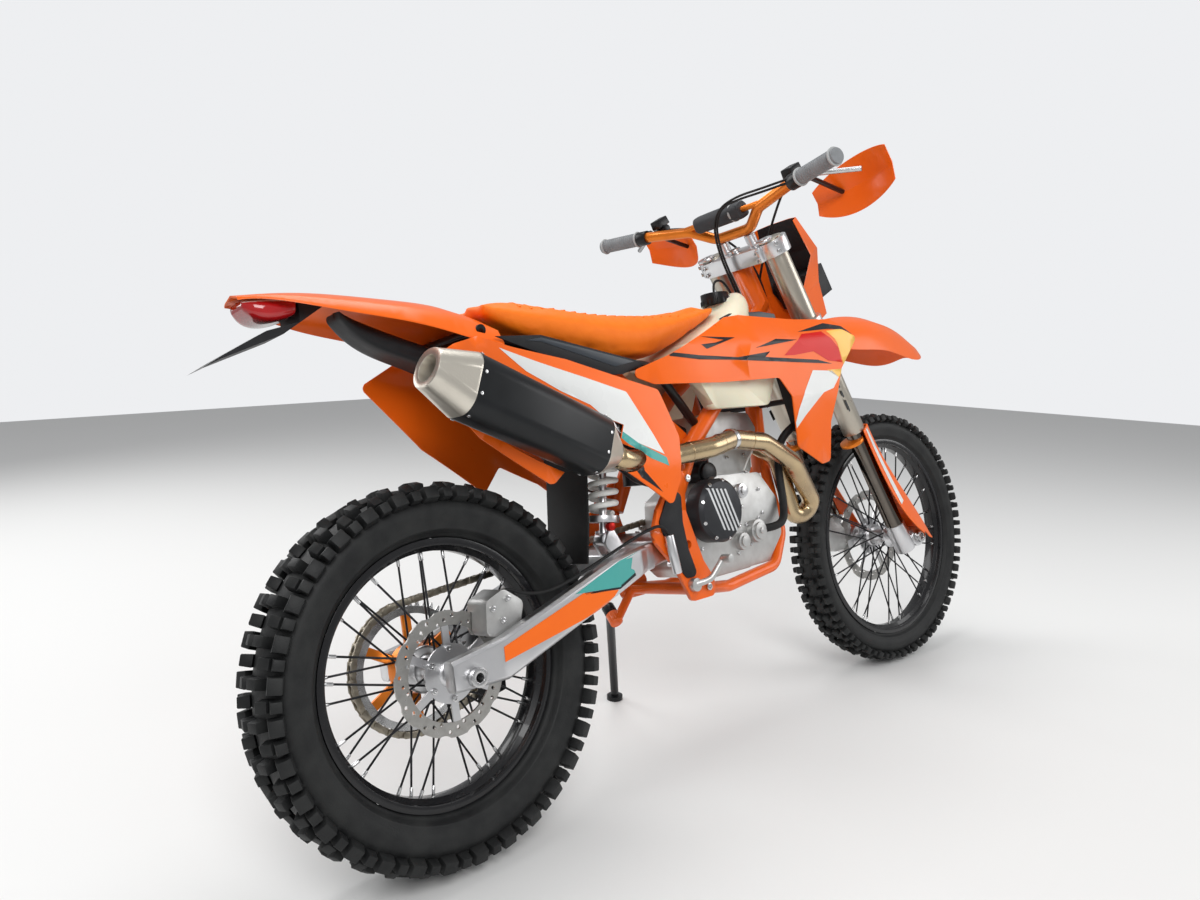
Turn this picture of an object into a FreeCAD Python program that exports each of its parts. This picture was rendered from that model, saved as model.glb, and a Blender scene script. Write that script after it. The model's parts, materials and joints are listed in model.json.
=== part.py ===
import FreeCAD, Part
import math
import os

# An enduro motorcycle that leans on its side stand, in millimetres. It is drawn upright first:
# x runs forward from the rear axle, y to the left and z up from the ground. Then the steering
# is turned, the whole machine leans to the left, and its box is centred on the origin.

# Driving dimensions of the chassis
WHEELBASE = 1482.0
SEAT_HEIGHT = 970.0
HALF_WIDTH = 200.0
RAKE = 26.1
TRAIL = 95.0
LEAN = 12.48
STEER = -4.4
REAR_RADIUS = 340.0
FRONT_RADIUS = 350.0
FORK_LENGTH = 925.0
BAR_HALF = 400.0
SEAT_GAP = 0.3
OVERRUN = 1.0

# Wheels
REAR_TYRE_WIDTH = 140.0
REAR_FLANGE_RADIUS = 238.0
REAR_RIM_WIDTH = 66.0
FRONT_TYRE_WIDTH = 92.0
FRONT_FLANGE_RADIUS = 276.0
FRONT_RIM_WIDTH = 52.0
RIM_DEPTH = 20.0
RIM_WALL = 3.0

SPOKES_A_SIDE = 18
SPOKE_RADIUS = 2.0
REAR_HUB_HALF = 44.0
REAR_HUB_FLANGE = 43.0
FRONT_HUB_HALF = 34.0
FRONT_HUB_FLANGE = 33.0
HUB_FLANGE_WIDTH = 8.0
HUB_BARREL = 27.0
REAR_AXLE_RADIUS = 12.5
FRONT_AXLE_RADIUS = 13.0
AXLE_BORE = 8.0
BEARING_GAP = 0.05
DISC_THICKNESS = 4.0
REAR_DISC_RADIUS = 110.0
FRONT_DISC_RADIUS = 130.0
DISC_BAND = 26.0
DISC_TO_HUB = 3.0

# Chain drive, on the left
CHAIN_PITCH = 15.875
REAR_TEETH = 48
FRONT_TEETH = 14
CHAIN_WIDTH = 19.0
CHAIN_HEIGHT = 15.0
TYRE_TO_CHAIN = 6.0
SPROCKET_THICKNESS = 6.0

# Frame tubes and plates
SPAR_RADIUS = 19.0
CRADLE_RADIUS = 13.0
DOWN_TUBE_RADIUS = 21.0
SUBFRAME_RADIUS = 10.0
HEAD_TUBE_RADIUS = 27.0
HEAD_LENGTH = 184.0
PLATE_THICKNESS = 10.0
PIVOT_BOLT_RADIUS = 9.0
ARM_THICKNESS = 30.0
ARM_HEIGHT = 66.0

# Fork and clamps
FORK_SPREAD = 100.0
FORK_OFFSET = 24.0
OUTER_TUBE_RADIUS = 29.5
INNER_TUBE_RADIUS = 24.0
OUTER_TUBE_LENGTH = 560.0
CLAMP_HEIGHT = 38.0
CLAMP_WALL = 11.0
BAR_RADIUS = 13.5
GRIP_RADIUS = 17.5
GRIP_LENGTH = 120.0
PANEL_WALL = 3.0

# Small sizes of the wheels and the drive
CLAMP_GAP = 1.0
HUB_END_RADIUS = 24.0
SPOKE_SWEEP = 0.42
SPOKE_LANDING = 9.0
DISC_RING = 52.0
DISC_ARM = 7.0
DISC_ARMS = 6
SPROCKET_RING = 100.0
SPIDER_RING = 48.0
SPIDER_ARM = 9.0
SPIDER_ARMS = 6

# Small sizes of the frame and the arm
SPAR_BEND = 90.0
CRADLE_BEND = 60.0
PLATE_INNER = 101.0
PLATE_CORNER = 14.0
STEM_RADIUS = 14.0
STEM_GAP = 0.05
ARM_BEVEL = 6.0
PIVOT_BOSS_RADIUS = 30.0
PIVOT_BOSS_HALF = 96.0
NUT_RADIUS = 17.0
NUT_THICKNESS = 12.0
SHOCK_Y = -45.0
SHOCK_BODY_RADIUS = 22.0
SHOCK_ROD_RADIUS = 8.0
SPRING_RADIUS = 33.0
SPRING_WIRE = 6.0
SPRING_TURNS = 5
EYE_RADIUS = 14.0
EYE_WIDTH = 26.0
MOUNT_PLATE = 7.0
FLAP_HALF = 66.0

# Engine and exhaust
CRANKCASE_LEFT = 72.0
CRANKCASE_RIGHT = 88.0
CLUTCH_COVER_RADIUS = 70.0
CLUTCH_COVER_DEPTH = 46.0
IGNITION_RADIUS = 58.0
IGNITION_DEPTH = 26.0
CASE_CORNER = 22.0
HEAD_HALF = 66.0
BOOT_RADIUS = 25.0
THROTTLE_RADIUS = 30.0
HEADER_RADIUS = 22.0
HEADER_BEND = 70.0
CLAMP_RING = 4.0
MUFFLER_TALL = 118.0
MUFFLER_WIDE = 94.0
MUFFLER_CORNER = 36.0
REAR_CAP_LENGTH = 76.0
FRONT_CAP_LENGTH = 52.0
OUTLET_RADIUS = 36.0
OUTLET_BORE = 24.0
OUTLET_DEPTH = 90.0
MUFFLER_WALL = 4.0

# Bodywork
PANEL_CORNER = 12.0
TANK_LOBE_INNER = 110.1
TANK_LOBE_WIDTH = 32.0
CAP_RADIUS = 34.0
CAP_RISE = 14.0
RADIATOR_INNER = 112.0
RADIATOR_DEPTH = 38.0
SHORTEST_EDGE = 0.01
FLAP_WALL = 4.2

# Steering pieces
BEARING_RADIUS = 24.0
LUG_RADIUS = 27.0
GUARD_WALL = 3.0
BAR_BEND = 55.0
PAD_HALF = 80.0
HUB_GAP = 2.0
BOTTLE_RADIUS = 21.0
HUB_END = 8.0
CALIPER_GAP = 1.5
PAD_GAP = 1.5
CALIPER_INNER = 40.0
FRONT_CALIPER_INNER = 32.5
FRONT_CALIPER_OUTER = 68.0
HOLDER_HALF = 40.0
PEDAL_RADIUS = 7.0
PEDAL_BEND = 30.0
TREAD_RADIUS = 9.0
TREAD_WIDTH = 24.0
PEG_LENGTH = 62.0
STAND_RADIUS = 10.0
STAND_EAR = 12.0
STAND_EAR_RADIUS = 15.0
CLAMP_BACK = -30.0
CLAMP_FRONT = 16.0
TUBE_ABOVE = 4.0
RISER_RADIUS = 14.0
RISER_SPREAD = 46.0
LUG_HEIGHT_UP = 86.0
LUG_DROP = 12.0
LUG_HALF = 22.0
PAD_DEPTH = 44.0
PAD_HEIGHT = 42.0
BRACE_RADIUS = 7.0
GRIP_END = 8.0
PERCH_LENGTH = 30.0
PERCH_RADIUS = 19.0
PERCH_REACH = 34.0
LEVER_RADIUS = 6.0
MUFFLER_ROOM = 6.0
STAND_LUG = 26.0
STAND_STAY = 10.0
STAY_RADIUS = 7.0
BOSS_RADIUS = 8.0
CALIPER_STAY = 12.0
STAY_FOOT_SHARE = 0.9
STAND_SOLE = 10.5
STAND_SOLE_RADIUS = 20.0
SUMP_HALF = 58.0
SUMP_DEPTH = 8.0


# Geometry helpers

def vec(x, y, z):
    return FreeCAD.Vector(x, y, z)


def grid(share):
    """A place on the chassis, from shares of the wheelbase, half width and seat height."""
    return vec(share[0] * WHEELBASE, share[1] * HALF_WIDTH, share[2] * SEAT_HEIGHT)


def flat_grid(shares):
    """An outline in side view, from shares of the wheelbase and seat height."""
    return [(a * WHEELBASE, b * SEAT_HEIGHT) for a, b in shares]


def fork_grid(share):
    """A place on the steering, from the axle's height, as shares of the fork's length and bar."""
    return vec(share[0] * FORK_LENGTH, share[1] * BAR_HALF, share[2] * FORK_LENGTH)


def unit(direction):
    return direction * (1 / direction.Length)


def corner(before, point, after, radius):
    """The arc that rounds a corner, or None where the path is straight."""
    back = before - point
    ahead = after - point
    turn = math.pi - back.getAngle(ahead)
    if turn < 0.001:
        return None
    half = math.tan(turn / 2)
    reach = min(radius * half, 0.45 * min(back.Length, ahead.Length))
    fitted = reach / half
    middle = unit(unit(back) + unit(ahead)) * (fitted / math.cos(turn / 2) - fitted)
    return Part.Arc(point + unit(back) * reach, point + middle, point + unit(ahead) * reach)


def path(points, radius, closed=False):
    """Straight runs joined by tangent arcs."""
    count = len(points)
    edges = []
    place = points[0]
    turns = range(count) if closed else range(1, count - 1)
    arcs = [corner(points[i - 1], points[i], points[(i + 1) % count], radius) for i in turns]
    arcs = [arc for arc in arcs if arc is not None]
    if closed:
        place = arcs[-1].toShape().Vertexes[-1].Point
    for arc in arcs:
        shape = arc.toShape()
        start = shape.Vertexes[0].Point
        if (start - place).Length > SHORTEST_EDGE:
            edges.append(Part.LineSegment(place, start).toShape())
        edges.append(shape)
        place = shape.Vertexes[-1].Point
    if not closed:
        edges.append(Part.LineSegment(place, points[-1]).toShape())
    return Part.Wire(edges)


def tube(points, radius, bend):
    """A round bar along straight runs joined by tangent arcs."""
    profile = Part.Wire(Part.makeCircle(radius, points[0], points[1] - points[0]))
    return path(points, bend).makePipeShell([profile], True, False)


def polygon(points, level=0):
    """A closed outline in side view, at one place across."""
    ring = [vec(x, level, z) for x, z in points]
    return Part.makePolygon(ring + ring[:1])


def slab(points, low, high):
    """A side outline with sharp corners, from one place across to another."""
    return Part.Face(polygon(points, low)).extrude(vec(0, high - low, 0))


def pad(points, low, high, radius):
    """A side outline with rounded corners, from one place across to another."""
    ring = [vec(x, low, z) for x, z in points]
    return Part.Face(path(ring, radius, True)).extrude(vec(0, high - low, 0))


def closed_curve(points):
    curve = Part.BSplineCurve()
    curve.interpolate(points, PeriodicFlag=True)
    return Part.Wire(curve.toShape())


def loft(wires, ruled=False):
    return Part.makeLoft(wires, True, ruled)


def cross_bar(centre, low, high, radius):
    """A round bar across the machine, at a place in side view."""
    return Part.makeCylinder(radius, high - low, vec(centre[0], low, centre[1]), vec(0, 1, 0))


def rod(start, end, radius):
    return Part.makeCylinder(radius, (end - start).Length, start, end - start)


def ring_solid(profile, centre):
    """A closed outline of radius and place across, turned round an axle."""
    ring = [vec(centre[0], y, centre[1] + r) for r, y in profile]
    face = Part.Face(Part.makePolygon(ring + ring[:1]))
    return face.revolve(vec(centre[0], 0, centre[1]), vec(0, 1, 0), 360)


def union(shapes):
    whole = shapes[0].multiFuse(shapes[1:]) if len(shapes) > 1 else shapes[0]
    return whole.removeSplitter()


def mirrored(shape):
    return shape.mirror(vec(0, 0, 0), vec(0, 1, 0))


def both(shape):
    """A piece and its mirror image as solids that don't touch."""
    return Part.makeCompound([shape, mirrored(shape)])


def round_axle(shape, centre, angle):
    """A copy turned about an axle."""
    copy = shape.copy()
    copy.rotate(vec(centre[0], 0, centre[1]), vec(0, 1, 0), angle)
    return copy

# Outlines and routes of the chassis, as shares of the wheelbase, the half width and the seat height
SPAR_SHARES = [(0.727, 0.06, 1.043), (0.668, 0.17, 0.981), (0.54, 0.45, 0.833), (0.432, 0.46, 0.693),
               (0.382, 0.46, 0.573)]
DOWN_TUBE_SHARES = [(0.723, 0, 1.021), (0.677, 0, 0.876), (0.668, 0, 0.606)]
CRADLE_SHARES = [(0.668, 0.07, 0.619), (0.642, 0.33, 0.454), (0.594, 0.45, 0.384), (0.472, 0.49, 0.369),
                 (0.398, 0.49, 0.384)]
CROSS_SHARES = [(0.437, 0.705), (0.399, 0.384)]
PLATE_SHARES = [(0.323, 0.528), (0.337, 0.573), (0.364, 0.619), (0.397, 0.647), (0.409, 0.647),
                (0.397, 0.598), (0.394, 0.557), (0.406, 0.495), (0.416, 0.443), (0.433, 0.4),
                (0.432, 0.361), (0.382, 0.361), (0.358, 0.443), (0.325, 0.505)]
GUARD_SHARES = [(0.335, 0.546), (0.356, 0.593), (0.387, 0.61), (0.382, 0.536), (0.386, 0.476),
                (0.398, 0.414), (0.375, 0.414), (0.351, 0.464)]
RAIL_SHARES = [(0.464, 0.43, 0.734), (0.385, 0.435, 0.885), (0.27, 0.42, 0.903), (0.081, 0.33, 0.967)]
STRUT_SHARES = [(0.368, 0.46, 0.619), (0.317, 0.46, 0.645), (0.202, 0.42, 0.794), (0.101, 0.35, 0.933)]
BRACE_SHARES = [(0.351, 0.42, 0.889), (0.202, 0.38, 0.92)]
SHOCK_MOUNT_SHARES = [(0.296, 0.861), (0.297, 0.895), (0.324, 0.889), (0.451, 0.728), (0.447, 0.693),
                      (0.425, 0.697)]
ARM_SHARES = [(-0.028, 0.332, 0.386), (0.047, 0.328, 0.404), (0.238, 0.424, 0.495),
              (0.287, 0.445, 0.505), (0.324, 0.451, 0.505), (0.389, 0.464, 0.505)]
ARM_CROSS_SHARES = [(0.27, 0.443), (0.27, 0.493), (0.287, 0.503), (0.324, 0.503), (0.324, 0.452)]
ARM_CLEVIS_SHARES = [(0.26, 0.521), (0.269, 0.546), (0.278, 0.546), (0.297, 0.495), (0.273, 0.485)]
SHOCK_SEAT_SHARES = [(0.1, 0.14), (0.52, 0.56)]
BOTTLE_SHARES = [(0.335, -0.26, 0.629), (0.343, -0.26, 0.768)]
FLAP_SHARES = [(0.225, 0.488), (0.236, 0.567), (0.245, 0.67), (0.246, 0.732), (0.246, 0.802)]
REAR_CALIPER_SHARES = [(0.035, 0.407), (0.04, 0.469), (0.067, 0.485), (0.094, 0.454), (0.086, 0.418),
                       (0.061, 0.397)]

# The engine, its pipe and the bodywork
CASE_SHARES = [(0.42, 0.423), (0.439, 0.396), (0.584, 0.396), (0.625, 0.456), (0.623, 0.546),
               (0.587, 0.614), (0.486, 0.621), (0.432, 0.577)]
SUMP_SHARES = [(0.468, 0.396), (0.561, 0.396)]
CLUTCH_SHARE = (0.456, 0.546)
IGNITION_SHARE = (0.526, 0.515)
BARREL_SHARES = [(0.487, 0.623), (0.588, 0.616), (0.596, 0.689), (0.495, 0.695)]
HEAD_SHARES = [(0.491, 0.685), (0.601, 0.677), (0.61, 0.722), (0.594, 0.761), (0.52, 0.771), (0.486, 0.726)]
BOOT_SHARES = [(0.503, 0.09, 0.711), (0.432, 0.09, 0.765), (0.236, 0.09, 0.847)]
HEADER_SHARES = [(0.603, -0.14, 0.705), (0.665, -0.3, 0.641), (0.69, -0.28, 0.472),
                 (0.731, -0.39, 0.505), (0.651, -0.61, 0.625), (0.574, -0.65, 0.685),
                 (0.5, -0.66, 0.701), (0.445, -0.71, 0.689), (0.378, -0.61, 0.682), (0.304, -0.62, 0.685)]
MUFFLER_SHARES = [(-0.024, -0.84, 0.889), (0.251, -0.71, 0.701)]
SEAT_SHARES = [(0.59, 0.12, 1.035, 1.045), (0.54, 0.29, 1, 1.029), (0.464, 0.42, 0.953, 1.007),
               (0.378, 0.48, 0.913, 1.001), (0.29, 0.5, 0.924, 1.005), (0.202, 0.47, 0.954, 1.021),
               (0.111, 0.33, 1.019, 1.038)]
REAR_FENDER_SHARES = [(-0.186, 0.15, 1.048, 1.043, 1.037), (-0.138, 0.33, 1.054, 1.044, 1.027),
                      (-0.074, 0.46, 1.054, 1.037, 1.004), (0.009, 0.52, 1.045, 1.025, 0.979),
                      (0.065, 0.55, 1.035, 1.01, 0.954), (0.115, 0.55, 1.006, 0.985, 0.94)]
AIRBOX_SHARES = [(-0.07, 0.14, 1.005, 1.019), (-0.04, 0.17, 0.959, 0.998), (0.017, 0.21, 0.921, 0.964),
                 (0.121, 0.25, 0.825, 0.923), (0.243, 0.29, 0.789, 0.898)]
TAIL_LIGHT_SHARES = [(-0.181, 0.13, 1.021, 1.035), (-0.162, 0.21, 1, 1.039), (-0.145, 0.22, 1, 1.042),
                     (-0.127, 0.21, 1.008, 1.046)]
PLATE_HOLDER_SHARES = [(-0.122, 1.038), (-0.078, 1.038), (-0.144, 0.975), (-0.215, 0.936),
                       (-0.233, 0.924), (-0.212, 0.942), (-0.162, 0.981), (-0.123, 0.996)]
SIDE_PANEL_SHARES = [(-0.012, 0.899), (0.063, 0.765), (0.157, 0.658), (0.196, 0.711), (0.27, 0.66),
                     (0.342, 0.579), (0.362, 0.631), (0.372, 0.722), (0.348, 0.827), (0.294, 0.854),
                     (0.202, 0.902), (0.121, 0.931), (0.074, 0.953), (0.04, 0.94)]
SIDE_PANEL_STATION_SHARES = [
    (-0.027, [(0.48, 0.619), (0.52, 0.742), (0.54, 0.866), (0.55, 0.969)]),
    (0.135, [(0.52, 0.619), (0.59, 0.742), (0.605, 0.866), (0.575, 0.969)]),
    (0.27, [(0.7, 0.536), (0.76, 0.68), (0.71, 0.825), (0.57, 0.969)]),
    (0.405, [(0.67, 0.536), (0.75, 0.68), (0.72, 0.825), (0.61, 0.969)])]
TANK_SHARES = [(0.656, 0.19, 1.021, 1.066), (0.637, 0.33, 0.988, 1.074), (0.607, 0.45, 0.944, 1.045),
               (0.582, 0.48, 0.923, 1.014), (0.54, 0.5, 0.911, 0.984), (0.472, 0.46, 0.899, 0.936),
               (0.439, 0.35, 0.893, 0.911)]
LOBE_SHARES = [(0.442, 0.912), (0.624, 0.928), (0.617, 0.837), (0.594, 0.771), (0.466, 0.775),
               (0.432, 0.856)]
BRIDGE_SHARES = [(0.466, 0.903), (0.594, 0.949), (0.594, 0.979), (0.466, 0.934)]
CAP_SHARE = (0.613, 0, 1.06)
RADIATOR_SHARES = [(0.633, 0.911), (0.686, 0.928), (0.721, 0.711), (0.675, 0.685)]
SHROUD_SHARES = [(0.304, 0.866), (0.378, 0.899), (0.472, 0.954), (0.525, 0.986), (0.56, 0.992),
                 (0.675, 0.975), (0.756, 0.971), (0.799, 0.918), (0.752, 0.841), (0.717, 0.711),
                 (0.713, 0.614), (0.691, 0.61), (0.631, 0.662), (0.624, 0.784), (0.601, 0.831),
                 (0.472, 0.831), (0.348, 0.839)]
SHROUD_STATION_SHARES = [
    (0.29, [(0.52, 0.577), (0.59, 0.784), (0.595, 0.918), (0.54, 1.01)]),
    (0.472, [(0.65, 0.577), (0.8, 0.784), (0.79, 0.918), (0.59, 1.01)]),
    (0.628, [(0.79, 0.577), (0.89, 0.784), (0.88, 0.918), (0.64, 1.01)]),
    (0.715, [(0.8, 0.577), (0.94, 0.784), (0.96, 0.918), (0.75, 1.01)]),
    (0.81, [(0.82, 0.577), (0.98, 0.784), (1.02, 0.918), (0.88, 1.01)])]
PEDAL_SHARES = [(0.386, -0.59, 0.397), (0.405, -0.7, 0.404), (0.428, -0.75, 0.443)]
GEAR_SHARES = [(0.472, 0.361, 0.433), (0.472, 0.52, 0.433), (0.513, 0.65, 0.433), (0.54, 0.67, 0.445)]
PEG_SHARES = [(0.37, 0.381), (0.405, 0.381), (0.405, 0.398), (0.37, 0.398)]
STAND_SHARES = [(0.364, 0.65, 0.34), (0.459, 1.6, 0.08)]
STAND_FOLDED_SHARE = (0.144, 1.025, 0.359)

# Outlines of the steering, as shares of the fork's length and half the bar
BAR_SHARES = [(0.026, 0, 1.046), (0.026, 0.145, 1.046), (0.009, 0.3, 1.094), (-0.011, 0.625, 1.126),
              (-0.037, 1, 1.15)]
BRACE_SHARE = (0.004, 0.32, 1.105)
LEVER_SHARE = (0.067, 0.963, 1.086)
STAY_SHARE = (0.14, 0.675, 1.035)
FORK_GUARD_SHARES = [
    (-0.022, [(0.12, 0.2), (0.128, 0.25), (0.122, 0.318), (0.099, 0.367)]),
    (0.117, [(0.076, 0.175), (0.101, 0.225), (0.095, 0.32), (0.028, 0.37)]),
    (0.27, [(0.063, 0.18), (0.076, 0.23), (0.067, 0.315), (0.017, 0.345)]),
    (0.4, [(0.056, 0.19), (0.067, 0.23), (0.061, 0.31), (0.019, 0.34)])]
HAND_GUARD_SHARES = [
    (0.53, [(0.099, 1.003), (0.112, 1.032), (0.108, 1.065)]),
    (0.675, [(0.128, 0.975), (0.151, 1.032), (0.134, 1.094)]),
    (0.875, [(0.141, 0.988), (0.169, 1.043), (0.154, 1.111)]),
    (1.045, [(0.128, 1.025), (0.141, 1.065), (0.136, 1.111)])]
MASK_SHARES = [(0.708, 0.132, 0.15, 0.212), (0.811, 0.06, 0.23, 0.223), (0.897, 0.151, 0.265, 0.234),
               (1, 0.177, 0.195, 0.221)]
LAMP_SHARES = [(0.162, -0.145, 0.757), (0.244, 0.145, 0.843)]
FRONT_FENDER_SHARES = [(-0.059, 0.145, 0.6530, 0.644, 0.616), (0.022, 0.155, 0.7161, 0.707, 0.672),
                       (0.108, 0.175, 0.7070, 0.692, 0.638), (0.181, 0.21, 0.6919, 0.668, 0.589),
                       (0.324, 0.22, 0.6400, 0.611, 0.508), (0.446, 0.18, 0.5589, 0.532, 0.416),
                       (0.541, 0.11, 0.4454, 0.427, 0.376), (0.579, 0.03, 0.3654, 0.361, 0.357)]
FRONT_CALIPER_SHARES = [(-0.108, 0.065), (-0.048, 0.039), (-0.022, 0.093), (-0.056, 0.162), (-0.095, 0.13)]
RADIATOR_STAY_SHARES = [(0.675, 0.778), (0.677, 0.868)]
SHROUD_BOSS_SHARE = (0.54, 0.825, 0.876)
CALIPER_STAY_SHARES = [(-0.069, 0.078), (-0.043, 0.134), (0.026, 0.112), (0.043, 0.063), (0.011, 0.032),
                       (-0.035, 0.048)]
TAIL_BAR_SHARE = (0.086, 0.52, 0.967)


# Places that pieces share

REAR_AXLE = (0.0, REAR_RADIUS)
FRONT_AXLE = (WHEELBASE, FRONT_RADIUS)
COS_RAKE = math.cos(math.radians(RAKE))
SIN_RAKE = math.sin(math.radians(RAKE))
AXLE_OFFSET = FRONT_RADIUS * SIN_RAKE - TRAIL * COS_RAKE
AXLE_RISE = FRONT_RADIUS * COS_RAKE + TRAIL * SIN_RAKE
PIVOT = flat_grid([(0.389, 0.485)])[0]
CHAIN_Y = REAR_TYRE_WIDTH / 2 + TYRE_TO_CHAIN + CHAIN_WIDTH / 2
ARM_INNER = CHAIN_Y + CHAIN_WIDTH / 2 + TYRE_TO_CHAIN
ARM_OUTER = ARM_INNER + ARM_THICKNESS
REAR_SPROCKET_RADIUS = CHAIN_PITCH / 2 / math.sin(math.pi / REAR_TEETH)
FRONT_SPROCKET_RADIUS = CHAIN_PITCH / 2 / math.sin(math.pi / FRONT_TEETH)
FRONT_SPROCKET = flat_grid([(0.436, 0.497)])[0]
UPPER_CLAMP_LOW = FORK_LENGTH - CLAMP_HEIGHT
HEAD_HIGH = UPPER_CLAMP_LOW - CLAMP_GAP
HEAD_LOW = HEAD_HIGH - HEAD_LENGTH
LOWER_CLAMP_LOW = HEAD_LOW - CLAMP_GAP - CLAMP_HEIGHT
STEER_FOOT = vec(WHEELBASE + TRAIL - AXLE_RISE * SIN_RAKE, 0, AXLE_RISE * COS_RAKE)
UP_AXIS = vec(-SIN_RAKE, 0, COS_RAKE)
HEAD_TOP = STEER_FOOT + UP_AXIS * HEAD_HIGH
HEAD_FOOT = STEER_FOOT + UP_AXIS * HEAD_LOW

STAND_TOP, STAND_FOOT = [grid(share) for share in STAND_SHARES]
STAND_AXIS = unit((STAND_FOOT - STAND_TOP).cross(grid(STAND_FOLDED_SHARE) - STAND_TOP))
UPPER_EYE, LOWER_EYE = flat_grid([(0.307, 0.876), (0.269, 0.528)])


# Wheels

def tyre(centre, radius, width, flange, rim_width):
    """The tyre out to its lugs' tips, down to its seat on the rim."""
    half = width / 2
    bead = rim_width / 2 - RIM_WALL - SEAT_GAP
    wall = radius - flange
    side = [(flange - RIM_DEPTH / 2, bead), (flange + SEAT_GAP, bead), (flange + 0.3 * wall, 0.88 * half),
            (flange + 0.6 * wall, half), (radius - 0.17 * wall, 0.94 * half),
            (radius - 0.05 * wall, 0.62 * half), (radius, 0.2 * half)]
    return ring_solid(side + [(r, -y) for r, y in reversed(side)], centre)


def rim(centre, flange, width):
    """A drop-centre rim with a flange at each edge."""
    half = width / 2
    seat = flange - RIM_DEPTH / 2 - SEAT_GAP
    well = flange - RIM_DEPTH
    outer = [(flange, half), (flange, half - RIM_WALL), (seat, half - RIM_WALL), (seat, 0.55 * half),
             (well, 0.4 * half)]
    inner = [(well - RIM_WALL, 0.4 * half), (seat - RIM_WALL, 0.62 * half), (seat - RIM_WALL, half)]
    profile = outer + [(r, -y) for r, y in reversed(outer)]
    profile += [(r, -y) for r, y in inner[::-1]] + inner
    return ring_solid(profile, centre)


def hub(centre, half, flange, axle, right, left):
    """A barrel with a spoke flange at each end, bored for its axle."""
    root = half - HUB_FLANGE_WIDTH
    bore = axle + BEARING_GAP
    profile = [(bore, -right), (HUB_END_RADIUS, -right), (HUB_END_RADIUS, -half), (flange, -half),
               (flange, -root), (HUB_BARREL, -0.6 * half), (HUB_BARREL, 0.6 * half), (flange, root),
               (flange, half), (HUB_END_RADIUS, half), (HUB_END_RADIUS, left), (bore, left)]
    return ring_solid(profile, centre)


def spoke(centre, hub_place, rim_place):
    """One spoke between a place on a hub flange and one inside the rim, each as radius, angle, across."""
    ends = [vec(centre[0] + r * math.cos(a), y, centre[1] + r * math.sin(a)) for r, a, y in (hub_place, rim_place)]
    return rod(ends[0], ends[1], SPOKE_RADIUS)


def spokes(centre, flange, rim_inner, half):
    """Crossed spokes, pulled from both flanges to the rim's well."""
    across = half - HUB_FLANGE_WIDTH / 2
    pieces = []
    for side in (-1, 1):
        for index in range(SPOKES_A_SIDE):
            lead = 1 if index % 2 else -1
            angle = 2 * math.pi * (index + 0.25 * side) / SPOKES_A_SIDE
            start = (flange + 0.6 * SPOKE_RADIUS, angle, side * (across + 0.25 * lead * HUB_FLANGE_WIDTH))
            end = (rim_inner - SPOKE_RADIUS / 2, angle + lead * SPOKE_SWEEP, side * SPOKE_LANDING)
            pieces.append(spoke(centre, start, end))
    return Part.makeCompound(pieces)


def brake_disc(centre, radius, low, high):
    """A disc's swept band, carried by arms from a ring on the hub."""
    inner = radius - DISC_BAND
    band = ring_solid([(radius, low), (radius, high), (inner, high), (inner, low)], centre)
    ring = ring_solid([(HUB_END_RADIUS + SEAT_GAP, low), (HUB_END_RADIUS + SEAT_GAP, high), (DISC_RING, high), (DISC_RING, low)], centre)
    arm = slab([(centre[0] - DISC_ARM, centre[1] + DISC_RING - OVERRUN), (centre[0] + DISC_ARM, centre[1] + DISC_RING - OVERRUN),
                (centre[0] + DISC_ARM, centre[1] + inner + OVERRUN), (centre[0] - DISC_ARM, centre[1] + inner + OVERRUN)], low, high)
    arms = [round_axle(arm, centre, 360 * i / DISC_ARMS) for i in range(DISC_ARMS)]
    return union([band, ring] + arms)


def rear_sprocket():
    """A toothed ring on a carrier with open windows, bolted to the hub's left flange."""
    root = REAR_SPROCKET_RADIUS - CHAIN_HEIGHT / 2 - SEAT_GAP
    low = CHAIN_Y - SPROCKET_THICKNESS / 2
    high = CHAIN_Y + SPROCKET_THICKNESS / 2
    plate = ring_solid([(root, low), (root, high), (SPROCKET_RING, high), (SPROCKET_RING, low)], REAR_AXLE)
    spider = ring_solid([(HUB_END_RADIUS + SEAT_GAP, low), (HUB_END_RADIUS + SEAT_GAP, high), (SPIDER_RING, high), (SPIDER_RING, low)], REAR_AXLE)
    foot = ring_solid([(HUB_END_RADIUS + SEAT_GAP, REAR_HUB_HALF + SEAT_GAP), (HUB_END_RADIUS + SEAT_GAP, low), (SPIDER_RING, low),
                       (REAR_HUB_FLANGE, REAR_HUB_HALF + SEAT_GAP)], REAR_AXLE)
    arm = slab([(-SPIDER_ARM, REAR_RADIUS + SPIDER_RING - OVERRUN), (SPIDER_ARM, REAR_RADIUS + SPIDER_RING - OVERRUN),
                (SPIDER_ARM, REAR_RADIUS + SPROCKET_RING + OVERRUN), (-SPIDER_ARM, REAR_RADIUS + SPROCKET_RING + OVERRUN)], low, high)
    arms = [round_axle(arm, REAR_AXLE, 360 * i / SPIDER_ARMS) for i in range(SPIDER_ARMS)]
    return union([plate, spider, foot] + arms)


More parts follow.
